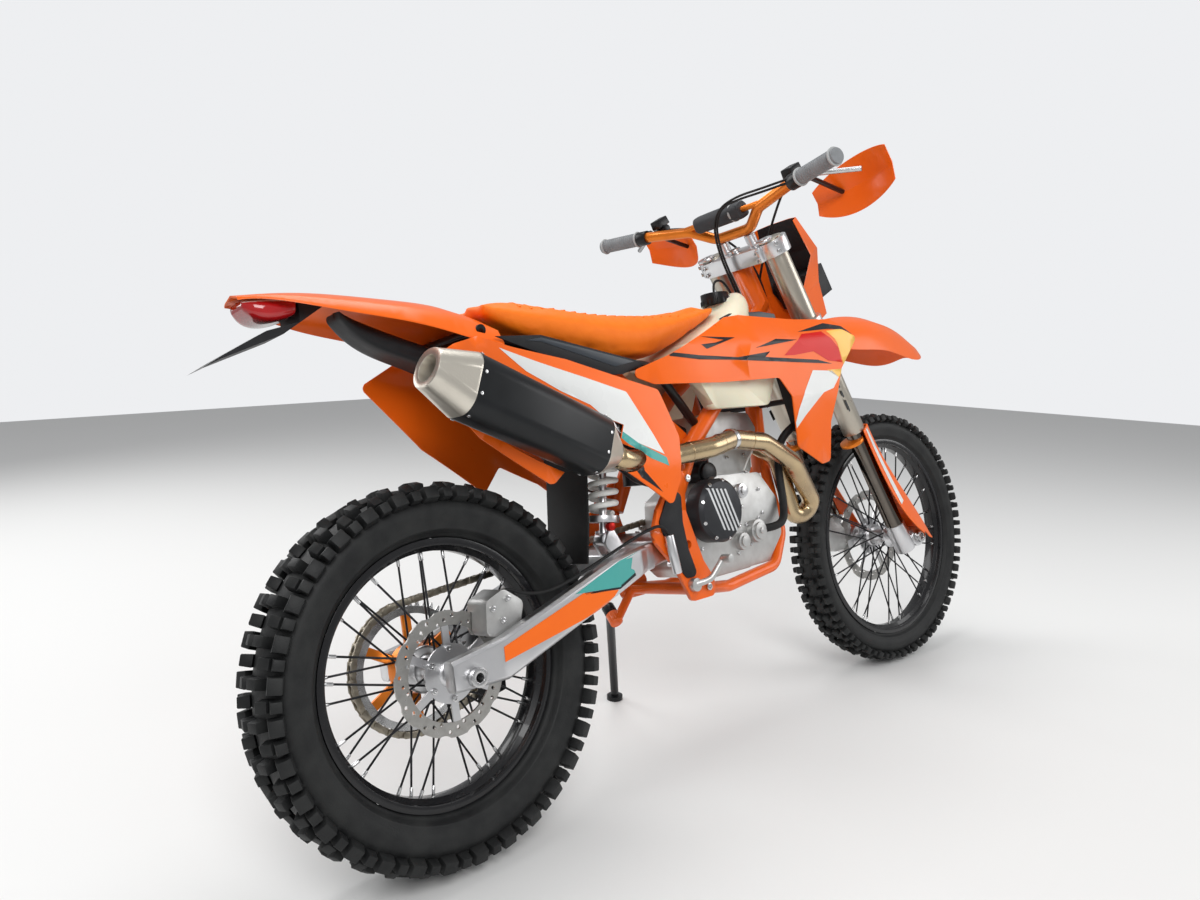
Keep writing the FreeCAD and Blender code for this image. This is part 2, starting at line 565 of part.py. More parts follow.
def belt(shift):
    """The chain's closed line, moved out or in from the pitch line."""
    big = REAR_SPROCKET_RADIUS + shift
    small = FRONT_SPROCKET_RADIUS + shift
    along = vec(FRONT_SPROCKET[0] - REAR_AXLE[0], 0, FRONT_SPROCKET[1] - REAR_AXLE[1])
    tilt = math.atan2(along.z, along.x)
    spread = math.acos((big - small) / along.Length)
    rims = []
    for centre, radius, away in ((REAR_AXLE, big, math.pi), (FRONT_SPROCKET, small, 0)):
        angles = (tilt + spread, tilt + away, tilt - spread)
        rims.append([vec(centre[0] + radius * math.cos(a), 0, centre[1] + radius * math.sin(a)) for a in angles])
    rear, front = rims
    return Part.Wire([Part.Arc(*rear).toShape(), Part.LineSegment(rear[2], front[2]).toShape(),
                      Part.Arc(*front[::-1]).toShape(), Part.LineSegment(front[0], rear[0]).toShape()])


def chain():
    """One closed loop round both sprockets."""
    outer = Part.Face(belt(CHAIN_HEIGHT / 2))
    loop = outer.cut(Part.Face(belt(-CHAIN_HEIGHT / 2))).Faces[0]
    loop.translate(vec(0, CHAIN_Y - CHAIN_WIDTH / 2, 0))
    return loop.extrude(vec(0, CHAIN_WIDTH, 0))


def front_sprocket():
    radius = FRONT_SPROCKET_RADIUS - CHAIN_HEIGHT / 2 - SEAT_GAP
    return cross_bar(FRONT_SPROCKET, CRANKCASE_LEFT + SEAT_GAP, CHAIN_Y + SPROCKET_THICKNESS / 2, radius)


# Frame

def side_tube(shares, radius, bend):
    """A tube on the right with its mirror image on the left."""
    left = tube([grid(share) for share in shares], radius, bend)
    return [left, mirrored(left)]


def main_frame():
    """Steering head, two spars, a down tube that splits into the cradle, and the pivot plates."""
    head = Part.makeCylinder(HEAD_TUBE_RADIUS, HEAD_LENGTH, HEAD_FOOT, UP_AXIS)
    spars = side_tube(SPAR_SHARES, SPAR_RADIUS, SPAR_BEND)
    cradle = side_tube(CRADLE_SHARES, CRADLE_RADIUS, CRADLE_BEND)
    down = tube([grid(share) for share in DOWN_TUBE_SHARES], DOWN_TUBE_RADIUS, SPAR_BEND)
    plate = pad(flat_grid(PLATE_SHARES), PLATE_INNER, PLATE_INNER + PLATE_THICKNESS, PLATE_CORNER)
    plate = plate.cut(cross_bar(PIVOT, 0, HALF_WIDTH, PIVOT_BOLT_RADIUS + SEAT_GAP))
    bars = [cross_bar(place, -PLATE_INNER, PLATE_INNER, CRADLE_RADIUS) for place in flat_grid(CROSS_SHARES)]
    mount = clevis(UPPER_EYE, SHOCK_MOUNT_SHARES)
    whole = union([head, down, plate, mirrored(plate)] + spars + cradle + bars + mount + stand_lug())
    return whole.cut(Part.makeCylinder(STEM_RADIUS + STEM_GAP, 3 * HEAD_LENGTH, HEAD_FOOT - UP_AXIS * HEAD_LENGTH, UP_AXIS))


def stand_lug():
    """The lug that the side stand turns on, and the stay that holds it to the cradle."""
    inner = STAND_TOP - STAND_AXIS * (STAND_EAR + SEAT_GAP)
    lug = rod(inner - STAND_AXIS * STAND_LUG, inner, STAND_EAR_RADIUS)
    stay = rod(grid(CRADLE_SHARES[-1]), inner - STAND_AXIS * STAND_LUG * STAY_FOOT_SHARE, STAND_STAY)
    return [lug, stay]


def frame_guards():
    guard = pad(flat_grid(GUARD_SHARES), PLATE_INNER + PLATE_THICKNESS + SEAT_GAP,
                PLATE_INNER + PLATE_THICKNESS + SEAT_GAP + PANEL_WALL, PLATE_CORNER)
    return both(guard)


def subframe():
    """Seat rails and struts, braced across."""
    rails = side_tube(RAIL_SHARES, SUBFRAME_RADIUS, SPAR_BEND)
    struts = side_tube(STRUT_SHARES, SUBFRAME_RADIUS, SPAR_BEND)
    bars = [cross_bar((grid(s).x, grid(s).z), -grid(s).y, grid(s).y, SUBFRAME_RADIUS) for s in BRACE_SHARES + [TAIL_BAR_SHARE]]
    return union(rails + struts + bars)


def section(share):
    """A closed cross-section of bodywork: place, half width, low and high, as shares."""
    x, half, low, high = share
    middle = (low + high) / 2
    ring = [(0, high), (0.62 * half, high - 0.06 * (high - low)), (half, middle + 0.18 * (high - low)),
            (0.94 * half, low + 0.12 * (high - low)), (0.55 * half, low), (0, low)]
    points = [grid((x, y, z)) for y, z in ring]
    points += [grid((x, -y, z)) for y, z in ring[-2:0:-1]]
    return closed_curve(points)


def body(shares):
    return loft([section(share) for share in shares])


def skin(stations, wall):
    """A curved side panel: at each place along, its run of places across and up."""
    wires = []
    for x, run in stations:
        outer = [grid((x, y, z)) for y, z in run]
        inner = [p - vec(0, wall, 0) for p in reversed(outer)]
        wires.append(Part.makePolygon(outer + inner + outer[:1]))
    return loft(wires)


def panel(stations, outline, wall):
    """A skin trimmed to its outline in side view."""
    trim = pad(flat_grid(outline), 0, 2 * HALF_WIDTH, PANEL_CORNER)
    return skin(stations, wall).common(trim)


# Swingarm, shock absorber and rear brake

def arm_section(station):
    """A box section of the swingarm with its long edges bevelled."""
    x, inner, low, high = station
    foot = grid((x, 0, low)) + vec(0, inner, 0)
    tall = (high - low) * SEAT_HEIGHT
    deep = ARM_THICKNESS
    cut = ARM_BEVEL
    ring = [(0, cut), (cut, 0), (deep - cut, 0), (deep, cut), (deep, tall - cut), (deep - cut, tall),
            (cut, tall), (0, tall - cut)]
    points = [foot + vec(0, y, z) for y, z in ring]
    return Part.makePolygon(points + points[:1])


def swingarm():
    """Two box arms, joined by a cross member behind the pivot."""
    inner = [ARM_INNER, ARM_INNER, ARM_INNER, ARM_INNER - ARM_THICKNESS / 3, PIVOT_BOSS_HALF - 1.15 * ARM_THICKNESS,
             PIVOT_BOSS_HALF - 1.15 * ARM_THICKNESS]
    stations = [(x, y, low, high) for (x, low, high), y in zip(ARM_SHARES, inner)]
    arm = loft([arm_section(station) for station in stations], True)
    boss = cross_bar(PIVOT, -PIVOT_BOSS_HALF, PIVOT_BOSS_HALF, PIVOT_BOSS_RADIUS)
    cross = pad(flat_grid(ARM_CROSS_SHARES), -ARM_INNER, ARM_INNER, ARM_BEVEL)
    eye = clevis(LOWER_EYE, ARM_CLEVIS_SHARES)
    whole = union([arm, mirrored(arm), boss, cross] + eye)
    whole = whole.cut(cross_bar(PIVOT, -HALF_WIDTH, HALF_WIDTH, PIVOT_BOLT_RADIUS + SEAT_GAP))
    return whole.cut(cross_bar(REAR_AXLE, -HALF_WIDTH, HALF_WIDTH, REAR_AXLE_RADIUS + SEAT_GAP))


def clevis(eye, outline):
    """Two plates that hold a shock eye between them."""
    half = EYE_WIDTH / 2 + SEAT_GAP
    plates = []
    for side in (-1, 1):
        low = SHOCK_Y + side * half
        plates.append(slab(flat_grid(outline), min(low, low + side * MOUNT_PLATE), max(low, low + side * MOUNT_PLATE)))
    return plates


def shock_point(share):
    """A place on the shock's line, from its lower eye to its upper eye."""
    low = vec(LOWER_EYE[0], SHOCK_Y, LOWER_EYE[1])
    high = vec(UPPER_EYE[0], SHOCK_Y, UPPER_EYE[1])
    return low + (high - low) * share


def shock():
    """Eyes, damper rod, body and the spring's seats, with the reservoir at its side."""
    eyes = [cross_bar(place, SHOCK_Y - EYE_WIDTH / 2, SHOCK_Y + EYE_WIDTH / 2, EYE_RADIUS) for place in (LOWER_EYE, UPPER_EYE)]
    rod_piece = rod(shock_point(0), shock_point(0.5), SHOCK_ROD_RADIUS)
    body_piece = rod(shock_point(0.42), shock_point(0.84), SHOCK_BODY_RADIUS)
    seats = [rod(shock_point(a), shock_point(b), SPRING_RADIUS) for a, b in SHOCK_SEAT_SHARES]
    bottle = rod(grid(BOTTLE_SHARES[0]), grid(BOTTLE_SHARES[1]), BOTTLE_RADIUS)
    neck = rod(shock_point(0.8), grid(BOTTLE_SHARES[1]) * 0.5 + grid(BOTTLE_SHARES[0]) * 0.5, SHOCK_ROD_RADIUS)
    return union(eyes + [rod_piece, body_piece, bottle, neck] + seats)


def shock_spring():
    """A coil that stands between its two seats, drawn as stacked rings on one wall."""
    low = shock_point(SHOCK_SEAT_SHARES[0][1])
    high = shock_point(SHOCK_SEAT_SHARES[1][0])
    length = (high - low).Length - 2 * SEAT_GAP
    pitch = (length - 2 * SPRING_WIRE) / SPRING_TURNS
    line = Part.makeHelix(pitch, pitch * SPRING_TURNS, SPRING_RADIUS - SPRING_WIRE)
    start = vec(SPRING_RADIUS - SPRING_WIRE, 0, 0)
    profile = Part.Wire(Part.makeCircle(SPRING_WIRE, start, vec(0, 1, 0)))
    coil = Part.Wire(line).makePipeShell([profile], True, True)
    coil.translate(vec(0, 0, SPRING_WIRE + SEAT_GAP))
    coil.Placement = FreeCAD.Placement(low, FreeCAD.Rotation(vec(0, 0, 1), high - low)) * coil.Placement
    return coil


def mud_flap():
    """A curved rubber flap that shields the shock from the tyre."""
    front = flat_grid(FLAP_SHARES)
    back = [(x - FLAP_WALL, z) for x, z in reversed(front)]
    return slab(front + back, -FLAP_HALF, FLAP_HALF)


def rear_axle():
    """A hollow axle with its head, nut and the spacers that centre the wheel."""
    end = ARM_OUTER + SEAT_GAP
    bar = cross_bar(REAR_AXLE, -end - NUT_THICKNESS, end + NUT_THICKNESS, REAR_AXLE_RADIUS)
    ends = [cross_bar(REAR_AXLE, side * end - (NUT_THICKNESS if side < 0 else 0), side * end + (NUT_THICKNESS if side > 0 else 0), NUT_RADIUS) for side in (-1, 1)]
    right = cross_bar(REAR_AXLE, -ARM_INNER + SEAT_GAP, -DISC_OUT - HUB_GAP, NUT_RADIUS)
    left = cross_bar(REAR_AXLE, SPROCKET_OUT + HUB_GAP, ARM_INNER - SEAT_GAP, NUT_RADIUS)
    whole = union([bar, right, left] + ends)
    return whole.cut(cross_bar(REAR_AXLE, -HALF_WIDTH, HALF_WIDTH, AXLE_BORE))


DISC_OUT = REAR_HUB_HALF + DISC_TO_HUB + DISC_THICKNESS
SPROCKET_OUT = CHAIN_Y + SPROCKET_THICKNESS / 2


def caliper(outline, centre, disc_low, disc_high, low, high, radius):
    """A block that straddles the disc, with a slot for it."""
    block = pad(outline, low, high, PLATE_CORNER)
    slot = ring_solid([(radius + CALIPER_GAP, disc_low - PAD_GAP), (radius + CALIPER_GAP, disc_high + PAD_GAP), (0, disc_high + PAD_GAP), (0, disc_low - PAD_GAP)], centre)
    return block.cut(slot)


def rear_caliper():
    outline = flat_grid(REAR_CALIPER_SHARES)
    return caliper(outline, REAR_AXLE, -DISC_OUT, -DISC_OUT + DISC_THICKNESS, -ARM_INNER + SEAT_GAP, -CALIPER_INNER, REAR_DISC_RADIUS)


# Engine and exhaust

def crankcase():
    """The two halves of the case with the flat oil sump under them."""
    case = pad(flat_grid(CASE_SHARES), -CRANKCASE_RIGHT, CRANKCASE_LEFT, CASE_CORNER)
    (rear, low), (front, _) = flat_grid(SUMP_SHARES)
    outline = [(rear, low + CASE_CORNER), (rear, low - SUMP_DEPTH),
               (front, low - SUMP_DEPTH), (front, low + CASE_CORNER)]
    return union([case, pad(outline, -SUMP_HALF, SUMP_HALF, SUMP_DEPTH / 2)])


def engine_covers():
    """The clutch cover on the right and the ignition cover on the left."""
    centre = flat_grid([CLUTCH_SHARE])[0]
    clutch = cross_bar(centre, -CRANKCASE_RIGHT - CLUTCH_COVER_DEPTH, -CRANKCASE_RIGHT - SEAT_GAP, CLUTCH_COVER_RADIUS)
    clutch = clutch.makeChamfer(CLUTCH_COVER_RADIUS / 9, [e for e in clutch.Edges if e.BoundBox.YMax < -CRANKCASE_RIGHT - CLUTCH_COVER_DEPTH / 2])
    place = flat_grid([IGNITION_SHARE])[0]
    ignition = cross_bar(place, CRANKCASE_LEFT + SEAT_GAP, CRANKCASE_LEFT + IGNITION_DEPTH, IGNITION_RADIUS)
    return Part.makeCompound([clutch, ignition])


def cylinder_head():
    barrel = pad(flat_grid(BARREL_SHARES), -HEAD_HALF, HEAD_HALF, PANEL_CORNER)
    top = pad(flat_grid(HEAD_SHARES), -1.08 * HEAD_HALF, 1.08 * HEAD_HALF, PANEL_CORNER)
    return union([barrel, top]).cut(crankcase())


def throttle_body():
    """The injection body behind the head, and its rubber boot to the air box."""
    line = [grid(share) for share in BOOT_SHARES]
    body_piece = rod(line[0], line[1], THROTTLE_RADIUS)
    boot = rod(line[1], line[2], BOOT_RADIUS)
    return union([body_piece, boot]).cut(cylinder_head()).cut(airbox())


def header_points():
    """The pipe's route, whose last run meets the muffler in line."""
    rear, front, ahead = muffler_frame()
    return [grid(share) for share in HEADER_SHARES] + [front + ahead * HEADER_BEND / 2, front + ahead * SEAT_GAP]


def header():
    """The pipe from the head's port, looped in front of the cradle and back over the clutch cover."""
    return tube(header_points(), HEADER_RADIUS, HEADER_BEND).cut(cylinder_head())


def muffler_frame():
    """The muffler's rear end and the direction to its front."""
    rear, front = [grid(share) for share in MUFFLER_SHARES]
    return rear, front, unit(front - rear)


def muffler_section(along, tall, wide, corner_radius):
    """A rounded cross-section of the muffler at a distance from its rear end."""
    rear, front, ahead = muffler_frame()
    side = unit(ahead.cross(vec(0, 0, 1)))
    up = side.cross(ahead)
    centre = rear + ahead * along
    ring = [centre + side * (a * wide / 2) + up * (b * tall / 2) for a, b in ((-1, -1), (1, -1), (1, 1), (-1, 1))]
    return path(ring, corner_radius, True)


def muffler():
    """A can of one section, between its two caps."""
    rear, front, ahead = muffler_frame()
    length = (front - rear).Length
    face = Part.Face(muffler_section(REAR_CAP_LENGTH + SEAT_GAP, MUFFLER_TALL, MUFFLER_WIDE, MUFFLER_CORNER))
    can = face.extrude(ahead * (length - REAR_CAP_LENGTH - FRONT_CAP_LENGTH - 2 * SEAT_GAP))
    return can.cut(rod(rear, rear + ahead * OUTLET_DEPTH, OUTLET_BORE))


def cap(start, end, small, big):
    """A cone from the can's section down to a round collar."""
    return loft([muffler_section(start, MUFFLER_TALL, MUFFLER_WIDE, MUFFLER_CORNER),
                 muffler_section(end, 2 * small, 2 * small, 0.98 * small)], True)


def muffler_caps():
    rear, front, ahead = muffler_frame()
    length = (front - rear).Length
    back = cap(REAR_CAP_LENGTH, 0, OUTLET_RADIUS, 0)
    back = back.cut(rod(rear - ahead, rear + ahead * OUTLET_DEPTH, OUTLET_BORE))
    nose = cap(length - FRONT_CAP_LENGTH, length, HEADER_RADIUS + CLAMP_RING, 0)
    return Part.makeCompound([back, nose])


# Bodywork

def seat():
    return body(SEAT_SHARES)


def arch(share):
    """A thin cross-section of a fender: place, half width, crown, shoulder and edge."""
    x, half, crown, shoulder, edge = share
    run = [(-half, edge), (-0.86 * half, 0.4 * edge + 0.6 * shoulder), (-0.55 * half, shoulder), (0, crown),
           (0.55 * half, shoulder), (0.86 * half, 0.4 * edge + 0.6 * shoulder), (half, edge)]
    return x, run


def rear_fender():
    wires = []
    for share in REAR_FENDER_SHARES:
        x, run = arch(share)
        outer = [grid((x, y, z)) for y, z in run]
        under = [p - vec(0, 0, PANEL_WALL) for p in reversed(outer)]
        wires.append(Part.makePolygon(outer + under + outer[:1]))
    return loft(wires)


def front_fender():
    wires = []
    for share in FRONT_FENDER_SHARES:
        x, run = arch(share)
        outer = [fork_grid((x, y, z)) for y, z in run]
        under = [p - vec(0, 0, PANEL_WALL) for p in reversed(outer)]
        wires.append(Part.makePolygon(outer + under + outer[:1]))
    return loft(wires)


def airbox():
    return body(AIRBOX_SHARES)


def tail_light():
    return body(TAIL_LIGHT_SHARES)


def plate_holder():
    """A bracket that hangs from the tail and kicks back, with no plate."""
    plate = slab(flat_grid(PLATE_HOLDER_SHARES), -HOLDER_HALF, HOLDER_HALF)
    return plate


def side_panels():
    """Both side panels, the right one cut away round the muffler."""
    left = panel(SIDE_PANEL_STATION_SHARES, SIDE_PANEL_SHARES, PANEL_WALL)
    rear, front, ahead = muffler_frame()
    section = muffler_section(-MUFFLER_ROOM, MUFFLER_TALL + 2 * MUFFLER_ROOM, MUFFLER_WIDE + 2 * MUFFLER_ROOM, MUFFLER_CORNER)
    room = Part.Face(section).extrude(ahead * ((front - rear).Length + 2 * MUFFLER_ROOM))
    pipe = tube(header_points()[-4:], HEADER_RADIUS + MUFFLER_ROOM, HEADER_BEND)
    return Part.makeCompound([left, mirrored(left).cut(room).cut(pipe)])


def shrouds():
    """A wing on each side of the tank, on a boss that meets the tank's lobe."""
    wing = panel(SHROUD_STATION_SHARES, SHROUD_SHARES, PANEL_WALL)
    place = grid(SHROUD_BOSS_SHARE)
    boss = cross_bar((place.x, place.z), TANK_LOBE_INNER + TANK_LOBE_WIDTH + SEAT_GAP, place.y, BOSS_RADIUS)
    return both(union([wing, boss]))


def tank():
    """A saddle under the seat's nose with a lobe down each side, and the filler cap."""
    saddle = body(TANK_SHARES)
    lobe = pad(flat_grid(LOBE_SHARES), TANK_LOBE_INNER, TANK_LOBE_INNER + TANK_LOBE_WIDTH, CASE_CORNER)
    bridge = pad(flat_grid(BRIDGE_SHARES), -TANK_LOBE_INNER - OVERRUN, TANK_LOBE_INNER + OVERRUN, PANEL_CORNER)
    boss = Part.makeCylinder(CAP_RADIUS, 2 * CAP_RISE, grid(CAP_SHARE) - vec(0, 0, CAP_RISE))
    return union([saddle, lobe, mirrored(lobe), bridge, boss])


def radiators():
    """A core on each side, held to the down tube by two stays."""
    core = pad(flat_grid(RADIATOR_SHARES), RADIATOR_INNER, RADIATOR_INNER + RADIATOR_DEPTH, PLATE_CORNER)
    root = DOWN_TUBE_RADIUS + SEAT_GAP
    stays = [cross_bar(place, root, RADIATOR_INNER + OVERRUN, STAY_RADIUS) for place in flat_grid(RADIATOR_STAY_SHARES)]
    return both(union([core] + stays))


# Foot controls and stand

def foot_controls():
    """Brake pedal on the right, gear lever and foot peg on the left."""
    pedal = tube([grid(s) for s in PEDAL_SHARES], PEDAL_RADIUS, PEDAL_BEND)
    pivot = grid(PEDAL_SHARES[0])
    hinge = cross_bar((pivot.x, pivot.z), pivot.y - PEDAL_RADIUS, -PLATE_INNER - PLATE_THICKNESS - SEAT_GAP, PLATE_CORNER)
    tread = rod(grid(PEDAL_SHARES[-1]), grid(PEDAL_SHARES[-1]) + vec(0, -TREAD_WIDTH, 0), TREAD_RADIUS)
    lever = tube([grid(s) for s in GEAR_SHARES], PEDAL_RADIUS, PEDAL_BEND)
    toe = rod(grid(GEAR_SHARES[-1]), grid(GEAR_SHARES[-1]) + vec(0, TREAD_WIDTH, 0), TREAD_RADIUS)
    peg = slab(flat_grid(PEG_SHARES), PLATE_INNER + PLATE_THICKNESS + SEAT_GAP, PLATE_INNER + PEG_LENGTH)
    return Part.makeCompound([union([pedal, tread, hinge]), union([lever, toe]), peg])


def side_stand():
    """A leg from its pivot ear to a flat foot on the ground."""
    top, foot = [grid(share) for share in STAND_SHARES]
    leg = rod(top, foot, STAND_RADIUS)
    ear = rod(top - STAND_AXIS * STAND_EAR, top + STAND_AXIS * STAND_EAR, STAND_EAR_RADIUS)
    upright = vec(0, -math.sin(math.radians(LEAN)), math.cos(math.radians(LEAN)))
    plate = rod(foot - upright * STAND_SOLE, foot, STAND_SOLE_RADIUS)
    return union([leg, ear, plate])


# Steering

def clamp(low, bore):
    """One triple clamp: a web between two split rings."""
    outline = [(CLAMP_BACK, -FORK_SPREAD), (CLAMP_BACK, FORK_SPREAD), (FORK_OFFSET + CLAMP_FRONT, FORK_SPREAD), (FORK_OFFSET + CLAMP_FRONT, -FORK_SPREAD)]
    ring = [vec(f, y, low) for f, y in outline]
    web = Part.Face(path(ring, CLAMP_WALL, True)).extrude(vec(0, 0, CLAMP_HEIGHT))
    rings = [Part.makeCylinder(OUTER_TUBE_RADIUS + CLAMP_WALL, CLAMP_HEIGHT, vec(FORK_OFFSET, side * FORK_SPREAD, low)) for side in (-1, 1)]
    holes = [Part.makeCylinder(OUTER_TUBE_RADIUS + SEAT_GAP, CLAMP_HEIGHT + 2 * OVERRUN, vec(FORK_OFFSET, side * FORK_SPREAD, low - OVERRUN)) for side in (-1, 1)]
    return union([web] + rings).cut(Part.makeCompound(holes))


def triple_clamps():
    """Both clamps on the steering stem."""
    stem = Part.makeCylinder(STEM_RADIUS, UPPER_CLAMP_LOW - LOWER_CLAMP_LOW, vec(0, 0, LOWER_CLAMP_LOW))
    rise = fork_grid(BAR_SHARES[0]).z - BAR_RADIUS - SEAT_GAP - FORK_LENGTH + OVERRUN
    risers = [Part.makeCylinder(RISER_RADIUS, rise, vec(FORK_OFFSET, side * RISER_SPREAD, FORK_LENGTH - OVERRUN)) for side in (-1, 1)]
    return union([clamp(UPPER_CLAMP_LOW, 0), clamp(LOWER_CLAMP_LOW, 0), stem] + risers)


def fork_outer_tubes():
    bar = Part.makeCylinder(OUTER_TUBE_RADIUS, OUTER_TUBE_LENGTH, vec(FORK_OFFSET, FORK_SPREAD, FORK_LENGTH + TUBE_ABOVE - OUTER_TUBE_LENGTH))
    return both(bar)


def fork_legs():
    """Inner tubes with the lugs that carry the axle ahead of them."""
    top = FORK_LENGTH + TUBE_ABOVE - OUTER_TUBE_LENGTH - SEAT_GAP
    bar = Part.makeCylinder(INNER_TUBE_RADIUS, top, vec(FORK_OFFSET, FORK_SPREAD, 0))
    socket = Part.makeCylinder(LUG_RADIUS, LUG_HEIGHT_UP, vec(FORK_OFFSET, FORK_SPREAD, -LUG_DROP))
    boss = cross_bar((AXLE_OFFSET, 0), FORK_SPREAD - LUG_HALF, FORK_SPREAD + LUG_HALF, LUG_RADIUS)
    web = slab([(FORK_OFFSET, -LUG_DROP), (AXLE_OFFSET, -LUG_RADIUS), (AXLE_OFFSET + LUG_RADIUS / 2, LUG_RADIUS / 2), (FORK_OFFSET, LUG_HEIGHT_UP - LUG_DROP)], FORK_SPREAD - LUG_HALF / 2, FORK_SPREAD + LUG_HALF / 2)
    leg = union([bar, socket, boss, web])
    return both(leg.cut(cross_bar((AXLE_OFFSET, 0), 0, HALF_WIDTH, FRONT_AXLE_RADIUS + SEAT_GAP)))


def front_axle():
    end = FORK_SPREAD + LUG_HALF + SEAT_GAP
    bar = cross_bar((AXLE_OFFSET, 0), -end - NUT_THICKNESS, end, FRONT_AXLE_RADIUS)
    head = cross_bar((AXLE_OFFSET, 0), -end - NUT_THICKNESS, -end, NUT_RADIUS)
    spacers = [cross_bar((AXLE_OFFSET, 0), min(a, b), max(a, b), NUT_RADIUS) for a, b in
               ((FRONT_DISC_OUT + HUB_GAP, FORK_SPREAD - LUG_HALF - SEAT_GAP), (-FORK_SPREAD + LUG_HALF + SEAT_GAP, -FRONT_HUB_HALF - HUB_END - HUB_GAP))]
    whole = union([bar, head] + spacers)
    return whole.cut(cross_bar((AXLE_OFFSET, 0), -HALF_WIDTH, HALF_WIDTH, AXLE_BORE))


FRONT_DISC_OUT = FRONT_HUB_HALF + DISC_TO_HUB + DISC_THICKNESS


def front_caliper():
    outline = [(a * FORK_LENGTH, b * FORK_LENGTH) for a, b in FRONT_CALIPER_SHARES]
    block = caliper(outline, FORK_AXLE, FRONT_HUB_HALF + DISC_TO_HUB, FRONT_DISC_OUT, FRONT_CALIPER_INNER, FRONT_CALIPER_OUTER, FRONT_DISC_RADIUS)
    face = FORK_SPREAD - LUG_RADIUS - SEAT_GAP
    stay = slab([(a * FORK_LENGTH, b * FORK_LENGTH) for a, b in CALIPER_STAY_SHARES], face - CALIPER_STAY, face)
    return union([block, stay])


def fork_guards():
    """Plastic covers round the front and outside of each leg, down past the axle."""
    wires = []
    for height, run in FORK_GUARD_SHARES:
        outer = [fork_grid((f, y, height)) for f, y in run]
        centre = vec(FORK_OFFSET, FORK_SPREAD, outer[0].z)
        inner = [p - unit(p - centre) * GUARD_WALL for p in reversed(outer)]
        wires.append(Part.makePolygon(outer + inner + outer[:1]))
    window = cross_bar(FORK_AXLE, -HALF_WIDTH, HALF_WIDTH, FRONT_AXLE_RADIUS)
    return both(loft(wires)).cut(window)


def bar_points():
    half = [fork_grid(share) for share in BAR_SHARES]
    return [vec(p.x, -p.y, p.z) for p in reversed(half[1:])] + half


def handlebar():
    """A bent bar with its cross brace."""
    bar = tube(bar_points(), BAR_RADIUS, BAR_BEND)
    left = fork_grid(BRACE_SHARE)
    brace = rod(vec(left.x, -left.y, left.z), left, BRACE_RADIUS)
    return union([bar, brace])


def bar_pad():
    place = fork_grid(BRACE_SHARE)
    ring = [vec(place.x + a * PAD_DEPTH / 2, -PAD_HALF, place.z + b * PAD_HEIGHT / 2) for a, b in ((-1, -1), (1, -1), (1, 1), (-1, 1))]
    block = Part.Face(path(ring, PAD_HEIGHT / 3, True)).extrude(vec(0, 2 * PAD_HALF, 0))
    return block.cut(rod(vec(place.x, -BAR_HALF, place.z), vec(place.x, BAR_HALF, place.z), BRACE_RADIUS + SEAT_GAP))


def grips():
    """Rubber sleeves on the bar's last runs."""
    root, end = bar_points()[-2:]
    inward = unit(root - end)
    sleeve = rod(end + inward * GRIP_LENGTH, end - inward * GRIP_END, GRIP_RADIUS)
    hole = rod(end + inward * (GRIP_LENGTH + OVERRUN), end - inward * SEAT_GAP, BAR_RADIUS + SEAT_GAP)
    return both(sleeve.cut(hole))


def hand_guards():
    wires = []
    for y, run in HAND_GUARD_SHARES:
        outer = [fork_grid((f, y, u)) for f, u in run]
        inner = [p - vec(GUARD_WALL, 0, 0) for p in reversed(outer)]
        wires.append(Part.makePolygon(outer + inner + outer[:1]))
    return both(loft(wires))


def bar_controls():
    """Lever perches, levers and the arms of the hand guards."""
    bar = bar_points()
    root, end = bar[-2:]
    inward = unit(root - end)
    pieces = []
    start = end + inward * (GRIP_LENGTH + SEAT_GAP)
    perch = rod(start, start + inward * PERCH_LENGTH, PERCH_RADIUS)
    knuckle = start + inward * PERCH_LENGTH / 2 + vec(PERCH_REACH, 0, 0)
    arm = rod(start + inward * PERCH_LENGTH / 2, knuckle, PERCH_RADIUS / 2)
    lever = rod(knuckle, fork_grid(LEVER_SHARE), LEVER_RADIUS)
    stay = rod(knuckle, fork_grid(STAY_SHARE), LEVER_RADIUS)
    hole = rod(end, start + inward * GRIP_LENGTH, BAR_RADIUS + SEAT_GAP)
    return both(union([perch, arm, lever, stay]).cut(hole))


def headlight_mask():
    wires = []
    for height, back, half, front in MASK_SHARES:
        run = [(back, -half), (0.3 * back + 0.7 * front, -0.85 * half), (front, -0.45 * half), (front, 0.45 * half), (0.3 * back + 0.7 * front, 0.85 * half), (back, half)]
        outer = [fork_grid((f, y, height)) for f, y in run]
        inner = [p - vec(PANEL_WALL, 0, 0) for p in reversed(outer)]
        wires.append(Part.makePolygon(outer + inner + outer[:1]))
    shell = loft(wires, True)
    return shell.cut(lamp_block(SEAT_GAP))


def lamp_block(room):
    """The headlamp's body, grown by a clearance."""
    low, high = [fork_grid(share) for share in LAMP_SHARES]
    size = high - low + vec(0, 2 * room, 2 * room)
    return Part.makeBox(size.x, size.y, size.z, low - vec(0, room, room))


def headlamp():
    return lamp_block(0)


REAR_RIM_INNER = REAR_FLANGE_RADIUS - RIM_DEPTH - RIM_WALL
FRONT_RIM_INNER = FRONT_FLANGE_RADIUS - RIM_DEPTH - RIM_WALL
FORK_AXLE = (AXLE_OFFSET, 0)


